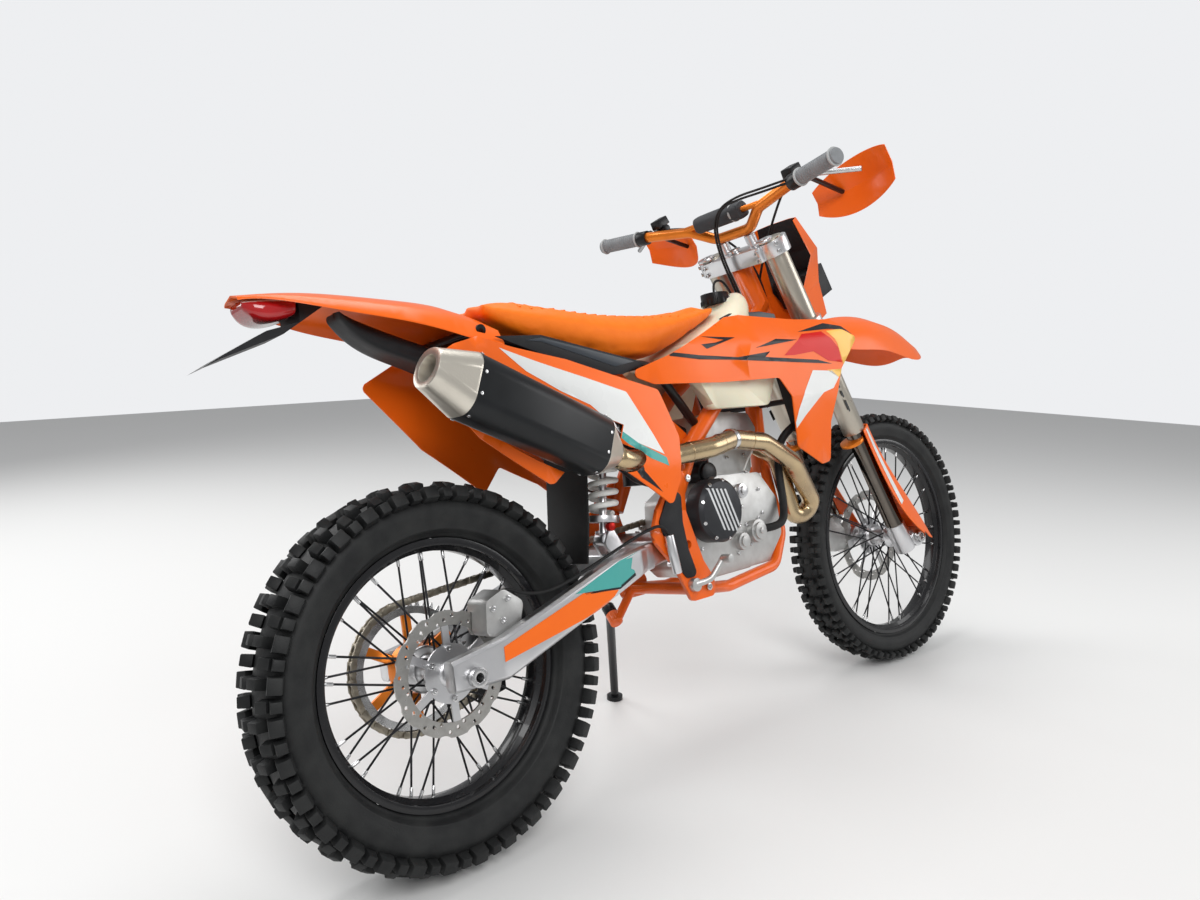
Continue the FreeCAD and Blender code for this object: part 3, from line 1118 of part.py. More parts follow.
def chassis_nodes():
    frame = main_frame()
    fender = rear_fender()
    return {
        "main_frame": frame,
        "frame_guards": frame_guards(),
        "subframe": subframe().cut(frame).cut(fender),
        "swingarm": swingarm(),
        "shock": shock(),
        "shock_spring": shock_spring(),
        "mud_flap": mud_flap(),
        "rear_axle": rear_axle(),
        "rear_caliper": rear_caliper(),
        "crankcase": crankcase(),
        "engine_covers": engine_covers(),
        "cylinder_head": cylinder_head(),
        "throttle_body": throttle_body(),
        "exhaust_header": header(),
        "muffler": muffler(),
        "muffler_caps": muffler_caps(),
        "front_sprocket": front_sprocket(),
        "chain": chain(),
        "seat": seat(),
        "rear_fender": fender,
        "airbox": airbox(),
        "tail_light": tail_light(),
        "plate_holder": plate_holder(),
        "side_panels": side_panels(),
        "shrouds": shrouds(),
        "fuel_tank": tank(),
        "radiators": radiators(),
        "foot_controls": foot_controls(),
    }


def rear_wheel_nodes():
    low = -DISC_OUT
    return {
        "rear_tyre": tyre(REAR_AXLE, REAR_RADIUS, REAR_TYRE_WIDTH, REAR_FLANGE_RADIUS, REAR_RIM_WIDTH),
        "rear_rim": rim(REAR_AXLE, REAR_FLANGE_RADIUS, REAR_RIM_WIDTH),
        "rear_hub": hub(REAR_AXLE, REAR_HUB_HALF, REAR_HUB_FLANGE, REAR_AXLE_RADIUS, DISC_OUT, SPROCKET_OUT),
        "rear_spokes": spokes(REAR_AXLE, REAR_HUB_FLANGE, REAR_RIM_INNER, REAR_HUB_HALF),
        "rear_disc": brake_disc(REAR_AXLE, REAR_DISC_RADIUS, low, low + DISC_THICKNESS),
        "rear_sprocket": rear_sprocket(),
    }


def front_wheel_nodes():
    high = FRONT_DISC_OUT
    return {
        "front_tyre": tyre(FORK_AXLE, FRONT_RADIUS, FRONT_TYRE_WIDTH, FRONT_FLANGE_RADIUS, FRONT_RIM_WIDTH),
        "front_rim": rim(FORK_AXLE, FRONT_FLANGE_RADIUS, FRONT_RIM_WIDTH),
        "front_hub": hub(FORK_AXLE, FRONT_HUB_HALF, FRONT_HUB_FLANGE, FRONT_AXLE_RADIUS, FRONT_HUB_HALF + HUB_END, FRONT_DISC_OUT),
        "front_spokes": spokes(FORK_AXLE, FRONT_HUB_FLANGE, FRONT_RIM_INNER, FRONT_HUB_HALF),
        "front_disc": brake_disc(FORK_AXLE, FRONT_DISC_RADIUS, high - DISC_THICKNESS, high),
    }


def steering_nodes():
    return {
        "triple_clamps": triple_clamps(),
        "fork_outer_tubes": fork_outer_tubes(),
        "fork_legs": fork_legs(),
        "fork_guards": fork_guards(),
        "front_axle": front_axle(),
        "front_caliper": front_caliper(),
        "front_fender": front_fender(),
        "handlebar": handlebar(),
        "bar_pad": bar_pad(),
        "grips": grips(),
        "bar_controls": bar_controls(),
        "hand_guards": hand_guards(),
        "headlight_mask": headlight_mask(),
        "headlamp": headlamp(),
    }


def on_steering(shape):
    """Turns a piece drawn about an upright steering axis and rakes it into place."""
    placed = shape.copy()
    placed.rotate(vec(0, 0, 0), vec(0, 0, 1), STEER)
    placed.rotate(vec(0, 0, 0), vec(0, 1, 0), -RAKE)
    placed.translate(STEER_FOOT)
    return placed


def leaned(shape):
    placed = shape.copy()
    placed.rotate(vec(0, 0, 0), vec(1, 0, 0), -LEAN)
    return placed


def stood():
    """Every piece, leaned over, with the whole machine's box centred on the origin."""
    upright = {**chassis_nodes(), **rear_wheel_nodes(), "side_stand": side_stand()}
    for name, shape in {**steering_nodes(), **front_wheel_nodes()}.items():
        upright[name] = on_steering(shape)
    pieces = {name: leaned(shape) for name, shape in upright.items()}
    boxes = [shape.optimalBoundingBox(False, False) for shape in pieces.values()]
    middle_x = (min(b.XMin for b in boxes) + max(b.XMax for b in boxes)) / 2
    middle_y = (min(b.YMin for b in boxes) + max(b.YMax for b in boxes)) / 2
    shift = vec(-middle_x, -middle_y, -min(b.ZMin for b in boxes))
    for shape in pieces.values():
        shape.translate(shift)
    return pieces, shift


def export():
    os.makedirs("parts", exist_ok=True)
    pieces, shift = stood()
    for name, shape in pieces.items():
        shape.exportStep("parts/" + name + ".step")
    print("shift", shift, "nodes", len(pieces))


export()
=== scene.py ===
import json
import math

import bpy
from mathutils import Matrix, Vector

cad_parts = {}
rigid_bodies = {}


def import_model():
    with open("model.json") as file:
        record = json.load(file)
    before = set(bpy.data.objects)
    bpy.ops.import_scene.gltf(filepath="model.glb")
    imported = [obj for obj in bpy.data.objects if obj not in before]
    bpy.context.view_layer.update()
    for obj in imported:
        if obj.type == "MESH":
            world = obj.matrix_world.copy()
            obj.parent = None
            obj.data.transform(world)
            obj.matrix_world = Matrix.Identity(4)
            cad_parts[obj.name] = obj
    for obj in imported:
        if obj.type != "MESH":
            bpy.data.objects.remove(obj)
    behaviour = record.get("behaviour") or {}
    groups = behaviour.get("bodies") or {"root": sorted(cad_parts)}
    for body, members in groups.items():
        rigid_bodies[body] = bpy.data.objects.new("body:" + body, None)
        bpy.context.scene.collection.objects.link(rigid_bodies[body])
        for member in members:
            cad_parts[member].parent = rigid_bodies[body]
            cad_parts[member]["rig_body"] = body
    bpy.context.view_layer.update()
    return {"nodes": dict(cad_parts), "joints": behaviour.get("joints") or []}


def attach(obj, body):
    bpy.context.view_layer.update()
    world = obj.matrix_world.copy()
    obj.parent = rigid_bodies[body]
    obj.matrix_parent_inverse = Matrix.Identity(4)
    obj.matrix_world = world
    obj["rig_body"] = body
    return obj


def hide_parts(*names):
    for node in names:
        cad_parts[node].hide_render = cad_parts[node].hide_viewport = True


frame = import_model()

# The studio. The motorcycle stands alone on a pale floor under wide soft lamps, and the camera looks
# at its right rear quarter from a person's height.
JOINTS = {joint["name"]: joint for joint in frame["joints"]}
SIDES = ((-1, "right"), (1, "left"))
MILLIMETRE = 0.001
FULL_TURN = 2 * math.pi


def axes(fore, side, origin):
    """A place whose own units are millimetres: x along fore, y along side, z up from both."""
    up = fore.cross(side)
    turn = Matrix((fore, side, up)).transposed().to_4x4()
    return Matrix.Translation(origin) @ turn @ Matrix.Scale(MILLIMETRE, 4)


REAR_RADIUS = 340
REAR_AXLE = Vector(JOINTS["rear_wheel_spin"]["pos_m"])
REAR_WHEEL = axes(Vector((1, 0, 0)), Vector(JOINTS["rear_wheel_spin"]["axis"]), REAR_AXLE)
BIKE = REAR_WHEEL @ Matrix.Translation((0, 0, -REAR_RADIUS))
FRONT_AXLE = Vector(JOINTS["front_wheel_spin"]["pos_m"])
STEERED_ACROSS = Vector(JOINTS["front_wheel_spin"]["axis"])
STEM = Vector(JOINTS["steering_turn"]["axis"])
STEM_PLACE = Vector(JOINTS["steering_turn"]["pos_m"])
STEERED_FORE = STEERED_ACROSS.cross(STEM)
FORK = axes(STEERED_FORE, STEERED_ACROSS, STEM_PLACE + STEM * (FRONT_AXLE - STEM_PLACE).dot(STEM))
FRONT_WHEEL = axes(STEERED_FORE, STEERED_ACROSS, FRONT_AXLE)

CAMERA_FROM_AXLE = Vector((-0.820, -1.3421, 0.6325))
CAMERA_YAW, CAMERA_PITCH, CAMERA_ROLL = math.radians(47.87), math.radians(8.47), math.radians(0.286)
LENS, SENSOR, FAR_CLIP = 27.12, 36, 100
FLOOR_COLOUR, FLOOR_ROUGHNESS, FLOOR_SIZE = (0.80, 0.80, 0.79, 1), 0.55, 16.0
SKY_COLOUR, SKY_LIGHT, SKY_SEEN = (0.97, 0.98, 1, 1), 0.40, 0.88
LAMPS = {
    "key_lamp": ((-2.2, -3.2, 3.4), (0, -0.2, 0.5), 2.0, 105),
    "fill_lamp": ((3.2, -2.6, 2.2), (0.2, -0.2, 0.6), 2.2, 45),
    "top_lamp": ((0.2, 0.8, 4.2), (0, -0.1, 0.4), 2.4, 80),
    "back_lamp": ((-1.5, 3.6, 2.6), (0, 0, 0.6), 2.4, 60),
}


def deselect():
    bpy.ops.object.select_all(action="DESELECT")


def alone(piece):
    """Selects one object and makes it active."""
    deselect()
    bpy.context.view_layer.objects.active = piece
    piece.select_set(True)
    return piece


def linked(name, data):
    """A new object in the scene."""
    piece = bpy.data.objects.new(name, data)
    bpy.context.scene.collection.objects.link(piece)
    return piece


def nodes_of(name):
    """A new material and its node tree, emptied down to an output."""
    material = bpy.data.materials.new(name)
    material.use_nodes = True
    tree = material.node_tree
    tree.nodes.clear()
    return material, tree, tree.nodes.new("ShaderNodeOutputMaterial")


def added(tree, kind, inputs, **settings):
    """A new shader node, each of whose inputs is given a value or the socket that feeds it."""
    node = tree.nodes.new("ShaderNode" + kind)
    for key, value in settings.items():
        setattr(node, key, value)
    for socket, value in inputs.items():
        if isinstance(value, bpy.types.NodeSocket):
            tree.links.new(value, node.inputs[socket])
        else:
            node.inputs[socket].default_value = value
    return node


camera = linked("camera", bpy.data.cameras.new("camera"))
camera.data.lens = LENS
camera.data.sensor_width = SENSOR
camera.data.clip_end = FAR_CLIP
camera.rotation_mode = "QUATERNION"
sight = Vector((math.cos(CAMERA_YAW) * math.cos(CAMERA_PITCH), math.sin(CAMERA_YAW) * math.cos(CAMERA_PITCH),
    -math.sin(CAMERA_PITCH)))
camera.location = REAR_AXLE + CAMERA_FROM_AXLE
roll = Matrix.Rotation(CAMERA_ROLL, 3, "Z").to_quaternion()
camera.rotation_quaternion = sight.to_track_quat("-Z", "Y") @ roll
bpy.context.scene.camera = camera
bpy.context.scene.view_settings.view_transform = "Standard"

deselect()
bpy.ops.mesh.primitive_plane_add(size=FLOOR_SIZE)
floor = bpy.context.object
floor.name = "floor"
pale, tree, output = nodes_of("pale_floor")
paint = added(tree, "BsdfPrincipled", {"Base Color": FLOOR_COLOUR, "Roughness": FLOOR_ROUGHNESS})
tree.links.new(paint.outputs[0], output.inputs[0])
floor.data.materials.append(pale)

world = bpy.data.worlds.new("studio")
bpy.context.scene.world = world
world.use_nodes = True
sky = world.node_tree
background = sky.nodes["Background"]
ray = added(sky, "LightPath", {})
seen = added(sky, "Math", {0: ray.outputs["Is Camera Ray"], 1: ray.outputs["Is Transmission Ray"]},
    operation="MAXIMUM")
strength = added(sky, "MapRange", {"Value": seen.outputs[0], "To Min": SKY_LIGHT, "To Max": SKY_SEEN})
sky.links.new(strength.outputs[0], background.inputs["Strength"])
background.inputs["Color"].default_value = SKY_COLOUR

for name, (place, target, size, watts) in LAMPS.items():
    bpy.ops.object.light_add(type="AREA", location=place)
    box = bpy.context.object
    box.name = name
    box.data.size = size
    box.data.energy = watts
    box.rotation_euler = (Vector(target) - Vector(place)).to_track_quat("-Z", "Y").to_euler()


# Surface effects that the finishes share. Each puts out a colour, a roughness and a height that
# change over the piece, so that paint looks sprayed, metal looks worked and rubber looks used.
MOTTLE_SOCKETS = {"INPUT": ("Vector", "Colour", "Second colour", "Amount", "Roughness", "Spread", "Scale"),
    "OUTPUT": ("Colour", "Roughness", "Height")}
SOCKET_KINDS = {"Vector": "Vector", "Colour": "Color", "Second colour": "Color"}
MOTTLE_FROM, MOTTLE_TO = 0.35, 0.75
BROAD_SHARE, BROAD_DETAIL, FINE_SHARE, FINE_DETAIL = 1, 4.0, 14, 2.0
SHEEN, SECOND_SHARE = 0.28, 0.7


def noise(tree, vector, scale, share, detail):
    """A noise whose scale is a share of a group's own scale."""
    size = added(tree, "Math", {0: scale, 1: share}, operation="MULTIPLY")
    cloud = added(tree, "TexNoise", {"Detail": detail, "Vector": vector, "Scale": size.outputs[0]})
    return cloud.outputs["Fac"]


mottle = bpy.data.node_groups.new("mottle", "ShaderNodeTree")
for way, sockets in MOTTLE_SOCKETS.items():
    for socket in sockets:
        kind = "NodeSocket" + SOCKET_KINDS.get(socket, "Float")
        mottle.interface.new_socket(socket, in_out=way, socket_type=kind)
taken, given = mottle.nodes.new("NodeGroupInput").outputs, mottle.nodes.new("NodeGroupOutput")
broad = noise(mottle, taken["Vector"], taken["Scale"], BROAD_SHARE, BROAD_DETAIL)
fine = noise(mottle, taken["Vector"], taken["Scale"], FINE_SHARE, FINE_DETAIL)
band = added(mottle, "MapRange", {"From Min": MOTTLE_FROM, "From Max": MOTTLE_TO, "Value": broad,
    "To Max": taken["Amount"]})
tint = added(mottle, "Mix", {"Factor": band.outputs[0], "A": taken["Colour"], "B": taken["Second colour"]},
    data_type="RGBA")
rough = added(mottle, "Math", {0: broad, 1: taken["Spread"], 2: taken["Roughness"]}, operation="MULTIPLY_ADD")
for socket, source in (("Colour", tint.outputs["Result"]), ("Roughness", rough.outputs[0]), ("Height", fine)):
    mottle.links.new(source, given.inputs[socket])


def finish(name, colour, second=None, amount=0.3, roughness=0.4, spread=0.15, scale=30.0, bump=0.0, **shader):
    """A material whose colour, gloss and fine relief vary over the piece."""
    material, tree, output = nodes_of(name)
    place = added(tree, "TexCoord", {})
    surface = tree.nodes.new("ShaderNodeGroup")
    surface.node_tree = mottle
    for socket, value in {"Colour": (*colour, 1), "Amount": amount, "Roughness": roughness - spread / 2,
            "Second colour": (*(second or [SECOND_SHARE * c for c in colour]), 1), "Spread": spread,
            "Scale": scale}.items():
        surface.inputs[socket].default_value = value
    tree.links.new(place.outputs["Object"], surface.inputs["Vector"])
    paint = added(tree, "BsdfPrincipled", {
        "Specular IOR Level": SHEEN, "Base Color": surface.outputs["Colour"],
        "Roughness": surface.outputs["Roughness"],
        **{socket.replace("_", " "): value for socket, value in shader.items()}})
    if bump:
        relief = added(tree, "Bump", {"Strength": bump, "Distance": MILLIMETRE,
            "Height": surface.outputs["Height"]})
        tree.links.new(relief.outputs[0], paint.inputs["Normal"])
    tree.links.new(paint.outputs[0], output.inputs[0])
    return material


# Tyres. Each is a black rubber carcass with moulded ribs round its bead and knobs that stand off
# the tread in staggered rows, the outer ones wrapped over the shoulder. They are pressed on a rim.
tyre_rubber = finish("tyre_rubber", (0.009, 0.0095, 0.010), (0.030, 0.031, 0.030), 0.6, 0.55, 0.25, 26, 0.4)
# The bend in degrees past which an edge stays sharp, from crisp metalwork to soft covers.
CRISP, PLAIN, EASED, SOFT = 30, 35, 40, 60
CASING_STEPS = 128
KNOB_TAPER, KNOB_BEVEL, KNOB_SHARE, KNOB_SUNK_SHARE, CROWN_DROP_SHARE = 0.86, 1.6, 1.25, 0.9, 0.55
# Each row of knobs: its offset in pitches, its place as a share of the half width, its tilt, and the
# knob's length and width.
TYRES = {
    "rear": {"radius": REAR_RADIUS, "half": 70, "bead": (238.4, 29.6), "depth": 17, "pitches": 32,
        "place": REAR_WHEEL, "rows": ((0.0, 0.27, 12, (20, 27)), (0.5, 0.62, 34, (21, 24)),
        (0.0, 0.93, 66, (30, 26)), (0.5, 0.96, 72, (20, 20)))},
    "front": {"radius": 350, "half": 46, "bead": (276.4, 22.6), "depth": 13, "pitches": 38,
        "place": FRONT_WHEEL, "rows": ((0.0, 0.26, 14, (15, 17)), (0.5, 0.60, 38, (16, 16)),
        (0.0, 0.90, 66, (22, 18)), (0.5, 0.93, 72, (15, 14)))},
}
# The casing from its bead to its crown: shares of the wall's height, and of the half width.
CASING_SHARES = ((0.05, 0.60), (0.075, 0.615), (0.10, 0.70), (0.16, 0.79), (0.18, 0.83), (0.20, 0.83),
    (0.34, 0.95), (0.50, 1.0), (0.62, 0.99), (0.76, 0.90), (0.88, 0.70), (0.96, 0.40), (1.0, 0.0))
SHOULDER_SHARE = 0.45


def worked(piece, kind, **values):
    """Adds one modifier to a piece and applies it."""
    alone(piece)
    modifier = piece.modifiers.new(kind.lower(), kind)
    for key, value in values.items():
        setattr(modifier, key, value)
    bpy.ops.object.modifier_apply(modifier=modifier.name)
    return piece


def smooth(piece, degrees=PLAIN):
    """Shades a piece as smooth but for its sharper edges."""
    alone(piece)
    bpy.ops.object.shade_smooth_by_angle(angle=math.radians(degrees))
    return piece


def joined(pieces, name):
    """Several objects as one mesh."""
    deselect()
    for piece in pieces:
        piece.select_set(True)
    bpy.context.view_layer.objects.active = pieces[0]
    bpy.ops.object.join()
    pieces[0].name = name
    return pieces[0]


def settled(piece, place):
    """Moves a piece's own place and size into its mesh, in the frame."""
    piece.data.transform(place @ piece.matrix_basis)
    piece.matrix_basis = Matrix.Identity(4)
    return piece


def coated(piece, material, body, replaces=()):
    """Gives a finished piece its material, its body and what it stands for."""
    piece.data.materials.clear()
    piece.data.materials.append(material)
    if replaces:
        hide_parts(*replaces)
    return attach(piece, body)


def placed(piece, place, material, body="chassis", degrees=PLAIN):
    """Smooths a piece, puts it in its place and coats it."""
    return coated(smooth(settled(piece, place), degrees), material, body)


def repeated(model, placements, name):
    """Copies of one model, each with its own mesh, joined into one piece."""
    copies = []
    for placement in placements:
        copy = linked(name, model.data.copy())
        copy.data.transform(placement)
        copies.append(copy)
    bpy.data.objects.remove(model)
    return joined(copies, name)


def block(size, taper=1.0, bevel=0.0, segments=1):
    """A block that stands on its base, narrower at the top, with its edges eased."""
    deselect()
    bpy.ops.mesh.primitive_cube_add(size=1)
    piece = bpy.context.object
    length, width, height = size
    for vertex in piece.data.vertices:
        shrink = taper if vertex.co.z > 0 else 1
        vertex.co = Vector((vertex.co.x * length * shrink, vertex.co.y * width * shrink,
            (vertex.co.z + 0.5) * height))
    if bevel:
        worked(piece, "BEVEL", width=bevel, segments=segments, limit_method="NONE")
    return piece


def mapped(name, columns, rows, place_of):
    """A grid of faces whose every corner is put where a rule of two shares says."""
    deselect()
    bpy.ops.mesh.primitive_grid_add(x_subdivisions=columns, y_subdivisions=rows, size=2)
    piece = bpy.context.object
    piece.name = name
    for vertex in piece.data.vertices:
        vertex.co = place_of((vertex.co.x + 1) / 2, (vertex.co.y + 1) / 2)
    return piece


def faced(piece):
    """Turns every face of a closed piece outwards."""
    alone(piece)
    bpy.ops.object.mode_set(mode="EDIT")
    bpy.ops.mesh.select_all(action="SELECT")
    bpy.ops.mesh.normals_make_consistent(inside=False)
    bpy.ops.object.mode_set(mode="OBJECT")
    return piece


def turned(name, profile, steps):
    """A closed outline of radius and place across, turned round the wheel's axle."""
    ring = profile + profile[:1]

    def place_of(u, v):
        radius, across = ring[round(v * (len(ring) - 1))]
        return Vector((radius * math.sin(FULL_TURN * u), across, radius * math.cos(FULL_TURN * u)))

    piece = mapped(name, steps, len(profile), place_of)
    return faced(worked(piece, "WELD", merge_threshold=0.001))


def carcass(size):
    """Half the cross-section of the casing, from the bead out to the crown."""
    bead, wide = size["bead"]
    wall = size["radius"] - size["depth"] - bead
    half = size["half"] - SHOULDER_SHARE * size["depth"]
    return [(bead, wide)] + [(bead + rise * wall, half * out) for rise, out in CASING_SHARES]


def knob_place(size, turn, share, tilt, side):
    """Where a knob's foot sits on the casing, leaning out towards the shoulder."""
    lean = math.radians(tilt) * side
    depth, out = size["depth"], size["half"] * share
    tip = size["radius"] - out * math.sin(math.radians(tilt) / 2) * CROWN_DROP_SHARE
    foot = Vector((0, side * out - math.sin(lean) * depth * KNOB_SUNK_SHARE,
        tip - math.cos(lean) * depth * KNOB_SHARE))
    return Matrix.Rotation(turn, 4, "Y") @ Matrix.Translation(foot) @ Matrix.Rotation(-lean, 4, "X")


for end, size in TYRES.items():
    section = carcass(size)
    outline = section + [(radius, -across) for radius, across in reversed(section[:-1])]
    pieces = [smooth(turned(end + "_casing", outline, CASING_STEPS), SOFT)]
    for offset, share, tilt, (length, width) in size["rows"]:
        places = [knob_place(size, FULL_TURN * (index + offset) / size["pitches"], share, tilt, side)
            for index in range(size["pitches"]) for side in (-1, 1)]
        knob = block((length, width, size["depth"] * KNOB_SHARE), KNOB_TAPER, KNOB_BEVEL, 2)
        pieces.append(smooth(repeated(knob, places, end + "_knobs"), CRISP))
    tyre = settled(joined(pieces, end + "_knobby_tyre"), size["place"])
    coated(tyre, tyre_rubber, end + "_wheel", [end + "_tyre"])


# Wheels. Black alloy rims laced with black spokes to machined hubs. Every spoke is drawn up by a bright
# nipple in the rim's well. The wave-edged steel discs and the sprocket are bolted to the hubs.
rim_black = finish("rim_black", (0.008, 0.008, 0.009), (0.016, 0.016, 0.018), 0.4, 0.26, 0.12, 30,
    Coat_Weight=0.3)
spoke_black = finish("spoke_black", (0.03, 0.03, 0.033), (0.06, 0.06, 0.065), 0.4, 0.3, 0.12, 60,
    Metallic=0.7)
machined_alloy = finish("machined_alloy", (0.70, 0.70, 0.71), (0.56, 0.56, 0.58), 0.4, 0.32, 0.12, 24, 0.02,
    Metallic=1.0)
cast_alloy = finish("cast_alloy", (0.56, 0.56, 0.55), (0.42, 0.41, 0.40), 0.6, 0.44, 0.14, 40, 0.15,
    Metallic=0.9)
bright_steel = finish("bright_steel", (0.62, 0.62, 0.62), (0.4, 0.4, 0.41), 0.5, 0.24, 0.2, 70, 0.08,
    Metallic=1.0)
disc_steel = finish("disc_steel", (0.46, 0.45, 0.43), (0.32, 0.31, 0.29), 0.6, 0.30, 0.15, 90, 0.12,
    Metallic=1.0)
orange_alloy = finish("orange_alloy", (0.80, 0.22, 0.02), (0.62, 0.15, 0.015), 0.4, 0.3, 0.15, 30,
    Metallic=0.55)
WELD_GAP, RIM_SMOOTH = 0.02 * MILLIMETRE, 50
# How wide a piece's edges are eased, in millimetres, from thin work to heavy castings.
FINE_EDGE, SMALL_EDGE, PLAIN_EDGE, BROAD_EDGE, CAST_EDGE = 0.5, 0.6, 0.8, 1.0, 1.2
SOCKET_WALL_SHARE, SOCKET_DEPTH_SHARE, BOLT_EDGE_SHARE, BOLT_STEPS, FLAT = 0.38, 0.45, 0.12, 16, 0.9
SPOKES_A_SIDE, SPOKE_SWEEP, SPOKE_LANDING, SPOKE_SEAT, SPOKE_LAG_SHARE = 18, 0.42, 9, 4, 0.25
# A round piece's size is its radius, height, number of sides and bevel. A bolt's is its radius and height.
NIPPLE = (3.4, 15, 8, 0.7)
DISC_BOLT, SPROCKET_BOLT, CALIPER_BOLT = (6, 4), (5, 3), (6, 5)
WHEELS = {
    "rear": {"place": REAR_WHEEL, "well": 215, "flange": 43, "hub_half": 44, "disc_face": -51, "disc": 110},
    "front": {"place": FRONT_WHEEL, "well": 253, "flange": 33, "hub_half": 34, "disc_face": 41, "disc": 130},
}
DISC_TURNS, DISC_CARRIER, DISC_BOLT_CIRCLE, CUTTER_DEPTH = 12, 74, 44, 24
# The cutters of each turn of a disc: out from its edge, ahead of the turn, radius, and number of sides.
DISC_CUTS = ((-16, 0.0, 3.6, 16), (-10, 0.17, 3.6, 16), (-22, -0.15, 3.6, 16), (21, 0.26, 25, 40))
SPROCKET_FACE, SPROCKET_BOLT_CIRCLE, TOOTH_RING, BOLTS_A_RING = 88.5, 105, 99, 6
CALIPER_OUT, CALIPER_BOLTS = 90, ((70, 100), (104, 112), (88, 76))
SEAT_REACH, CYLINDER_EDGE = 60, 40


def copied(name, node):
    """A second mesh of a built piece, to work on."""
    piece = linked(name, frame["nodes"][node].data.copy())
    return worked(piece, "WELD", merge_threshold=WELD_GAP)


def dressed(node, material, bevel=0.0, degrees=PLAIN):
    """A copy of a built piece with eased edges and smooth curves, which stands for it."""
    piece = copied(node + "_dressed", node)
    if bevel:
        worked(piece, "BEVEL", width=bevel * MILLIMETRE, segments=2, limit_method="ANGLE",
            angle_limit=math.radians(degrees))
    return coated(smooth(piece, degrees), material, frame["nodes"][node]["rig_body"], replaces=[node])


def divided(piece, place, material, rule):
    """Gives a second material to the faces that a rule picks by middle and normal, in place's units."""
    piece.data.materials.append(material)
    index = len(piece.data.materials) - 1
    back = place.inverted()
    turn = back.to_3x3().normalized()
    for face in piece.data.polygons:
        if rule(back @ face.center, turn @ face.normal):
            face.material_index = index
    return piece


def cylinder(radius, depth, steps=24, bevel=0.0):
    """A round block that stands on its base."""
    deselect()
    bpy.ops.mesh.primitive_cylinder_add(vertices=steps, radius=radius, depth=depth,
        location=(0, 0, depth / 2))
    piece = bpy.context.object
    bpy.ops.object.transform_apply(location=True)
    if bevel:
        worked(piece, "BEVEL", width=bevel, segments=2, limit_method="ANGLE",
            angle_limit=math.radians(CYLINDER_EDGE))
    return piece


def picked(piece, rule):
    """Opens a piece for editing with the faces selected that a rule picks."""
    alone(piece)
    bpy.ops.object.mode_set(mode="EDIT")
    bpy.ops.mesh.select_mode(type="FACE")
    bpy.ops.mesh.select_all(action="DESELECT")
    bpy.ops.object.mode_set(mode="OBJECT")
    for face in piece.data.polygons:
        face.select = rule(face)
    bpy.ops.object.mode_set(mode="EDIT")


def bolt(radius, height):
    """A round-headed bolt with a socket sunk in it."""
    piece = cylinder(radius, height, BOLT_STEPS, radius * BOLT_EDGE_SHARE)
    top = max(vertex.co.z for vertex in piece.data.vertices)
    picked(piece, lambda face: face.normal.z > FLAT and face.center.z > top - MILLIMETRE)
    bpy.ops.mesh.inset(thickness=radius * SOCKET_WALL_SHARE)
    sunk = (0, 0, -height * SOCKET_DEPTH_SHARE)
    bpy.ops.mesh.extrude_region_move(TRANSFORM_OT_translate={"value": sunk})
    bpy.ops.object.mode_set(mode="OBJECT")
    return smooth(piece, CRISP)


def aimed(start, direction):
    """A place at a point whose z axis runs along a direction."""
    return Matrix.Translation(start) @ Vector(direction).to_track_quat("Z", "Y").to_matrix().to_4x4()


def circled(radius, across, count, side, centre=(0, 0), start=0.0):
    """Places on a circle in side view, all facing out."""
    angles = [start + FULL_TURN * index / count for index in range(count)]
    return [((centre[0] + radius * math.sin(angle), across, centre[1] + radius * math.cos(angle)),
        (0, side, 0)) for angle in angles]


def sideways(places, out, sides=(-1, 1)):
    """Spots at places in side view, so far out on each side and facing out."""
    return [((x, side * out, z), (0, side, 0)) for side in sides for x, z in places]


def rounds(name, size, spots, material, body="chassis", place=BIKE):
    """Round pieces alike, each standing at a point along a direction."""
    pieces = repeated(cylinder(*size), [aimed(point, way) for point, way in spots], name)
    return placed(pieces, place, material, body)


def seated(node, place, spots):
    """Where a built piece's outside lies behind each spot, and the way that it faces there."""
    probe = copied("probe", node)
    probe.data.transform(place.inverted())
    found = []
    for point, way in spots:
        out = Vector(way).normalized()
        start = Vector(point) + out * SEAT_REACH
        hit, foot, normal, face = probe.ray_cast(start, -out, distance=2 * SEAT_REACH)
        if hit:
            found.append((foot, normal))
    bpy.data.objects.remove(probe)
    return found


def bolted(name, spots, size, node=None, body="chassis", place=BIKE, material=bright_steel):
    """Bolt heads at spots that face a way, set down on a built piece where one is named."""
    if node:
        spots = seated(node, place, spots)
    heads = repeated(bolt(*size), [aimed(point, way) for point, way in spots], name)
    return coated(settled(heads, place), material, body)


def drilled(node, material, place, across, radius):
    """A brake disc with a waved edge and rows of holes through its ring."""
    rotor = copied(node + "_drilled", node)
    cutters = []
    for turn in range(DISC_TURNS):
        for out, lead, size, steps in DISC_CUTS:
            angle, reach = FULL_TURN * turn / DISC_TURNS + lead, radius + out
            cutter = cylinder(size, CUTTER_DEPTH, steps)
            foot = (reach * math.sin(angle), across - CUTTER_DEPTH / 2, reach * math.cos(angle))
            cutter.data.transform(aimed(foot, (0, 1, 0)))
            cutters.append(cutter)
    tool = settled(joined(cutters, "disc_cutter"), place)
    worked(rotor, "BOOLEAN", operation="DIFFERENCE", object=tool, solver="EXACT")
    bpy.data.objects.remove(tool)
    return coated(smooth(rotor, CRISP), material, frame["nodes"][node]["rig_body"], replaces=[node])


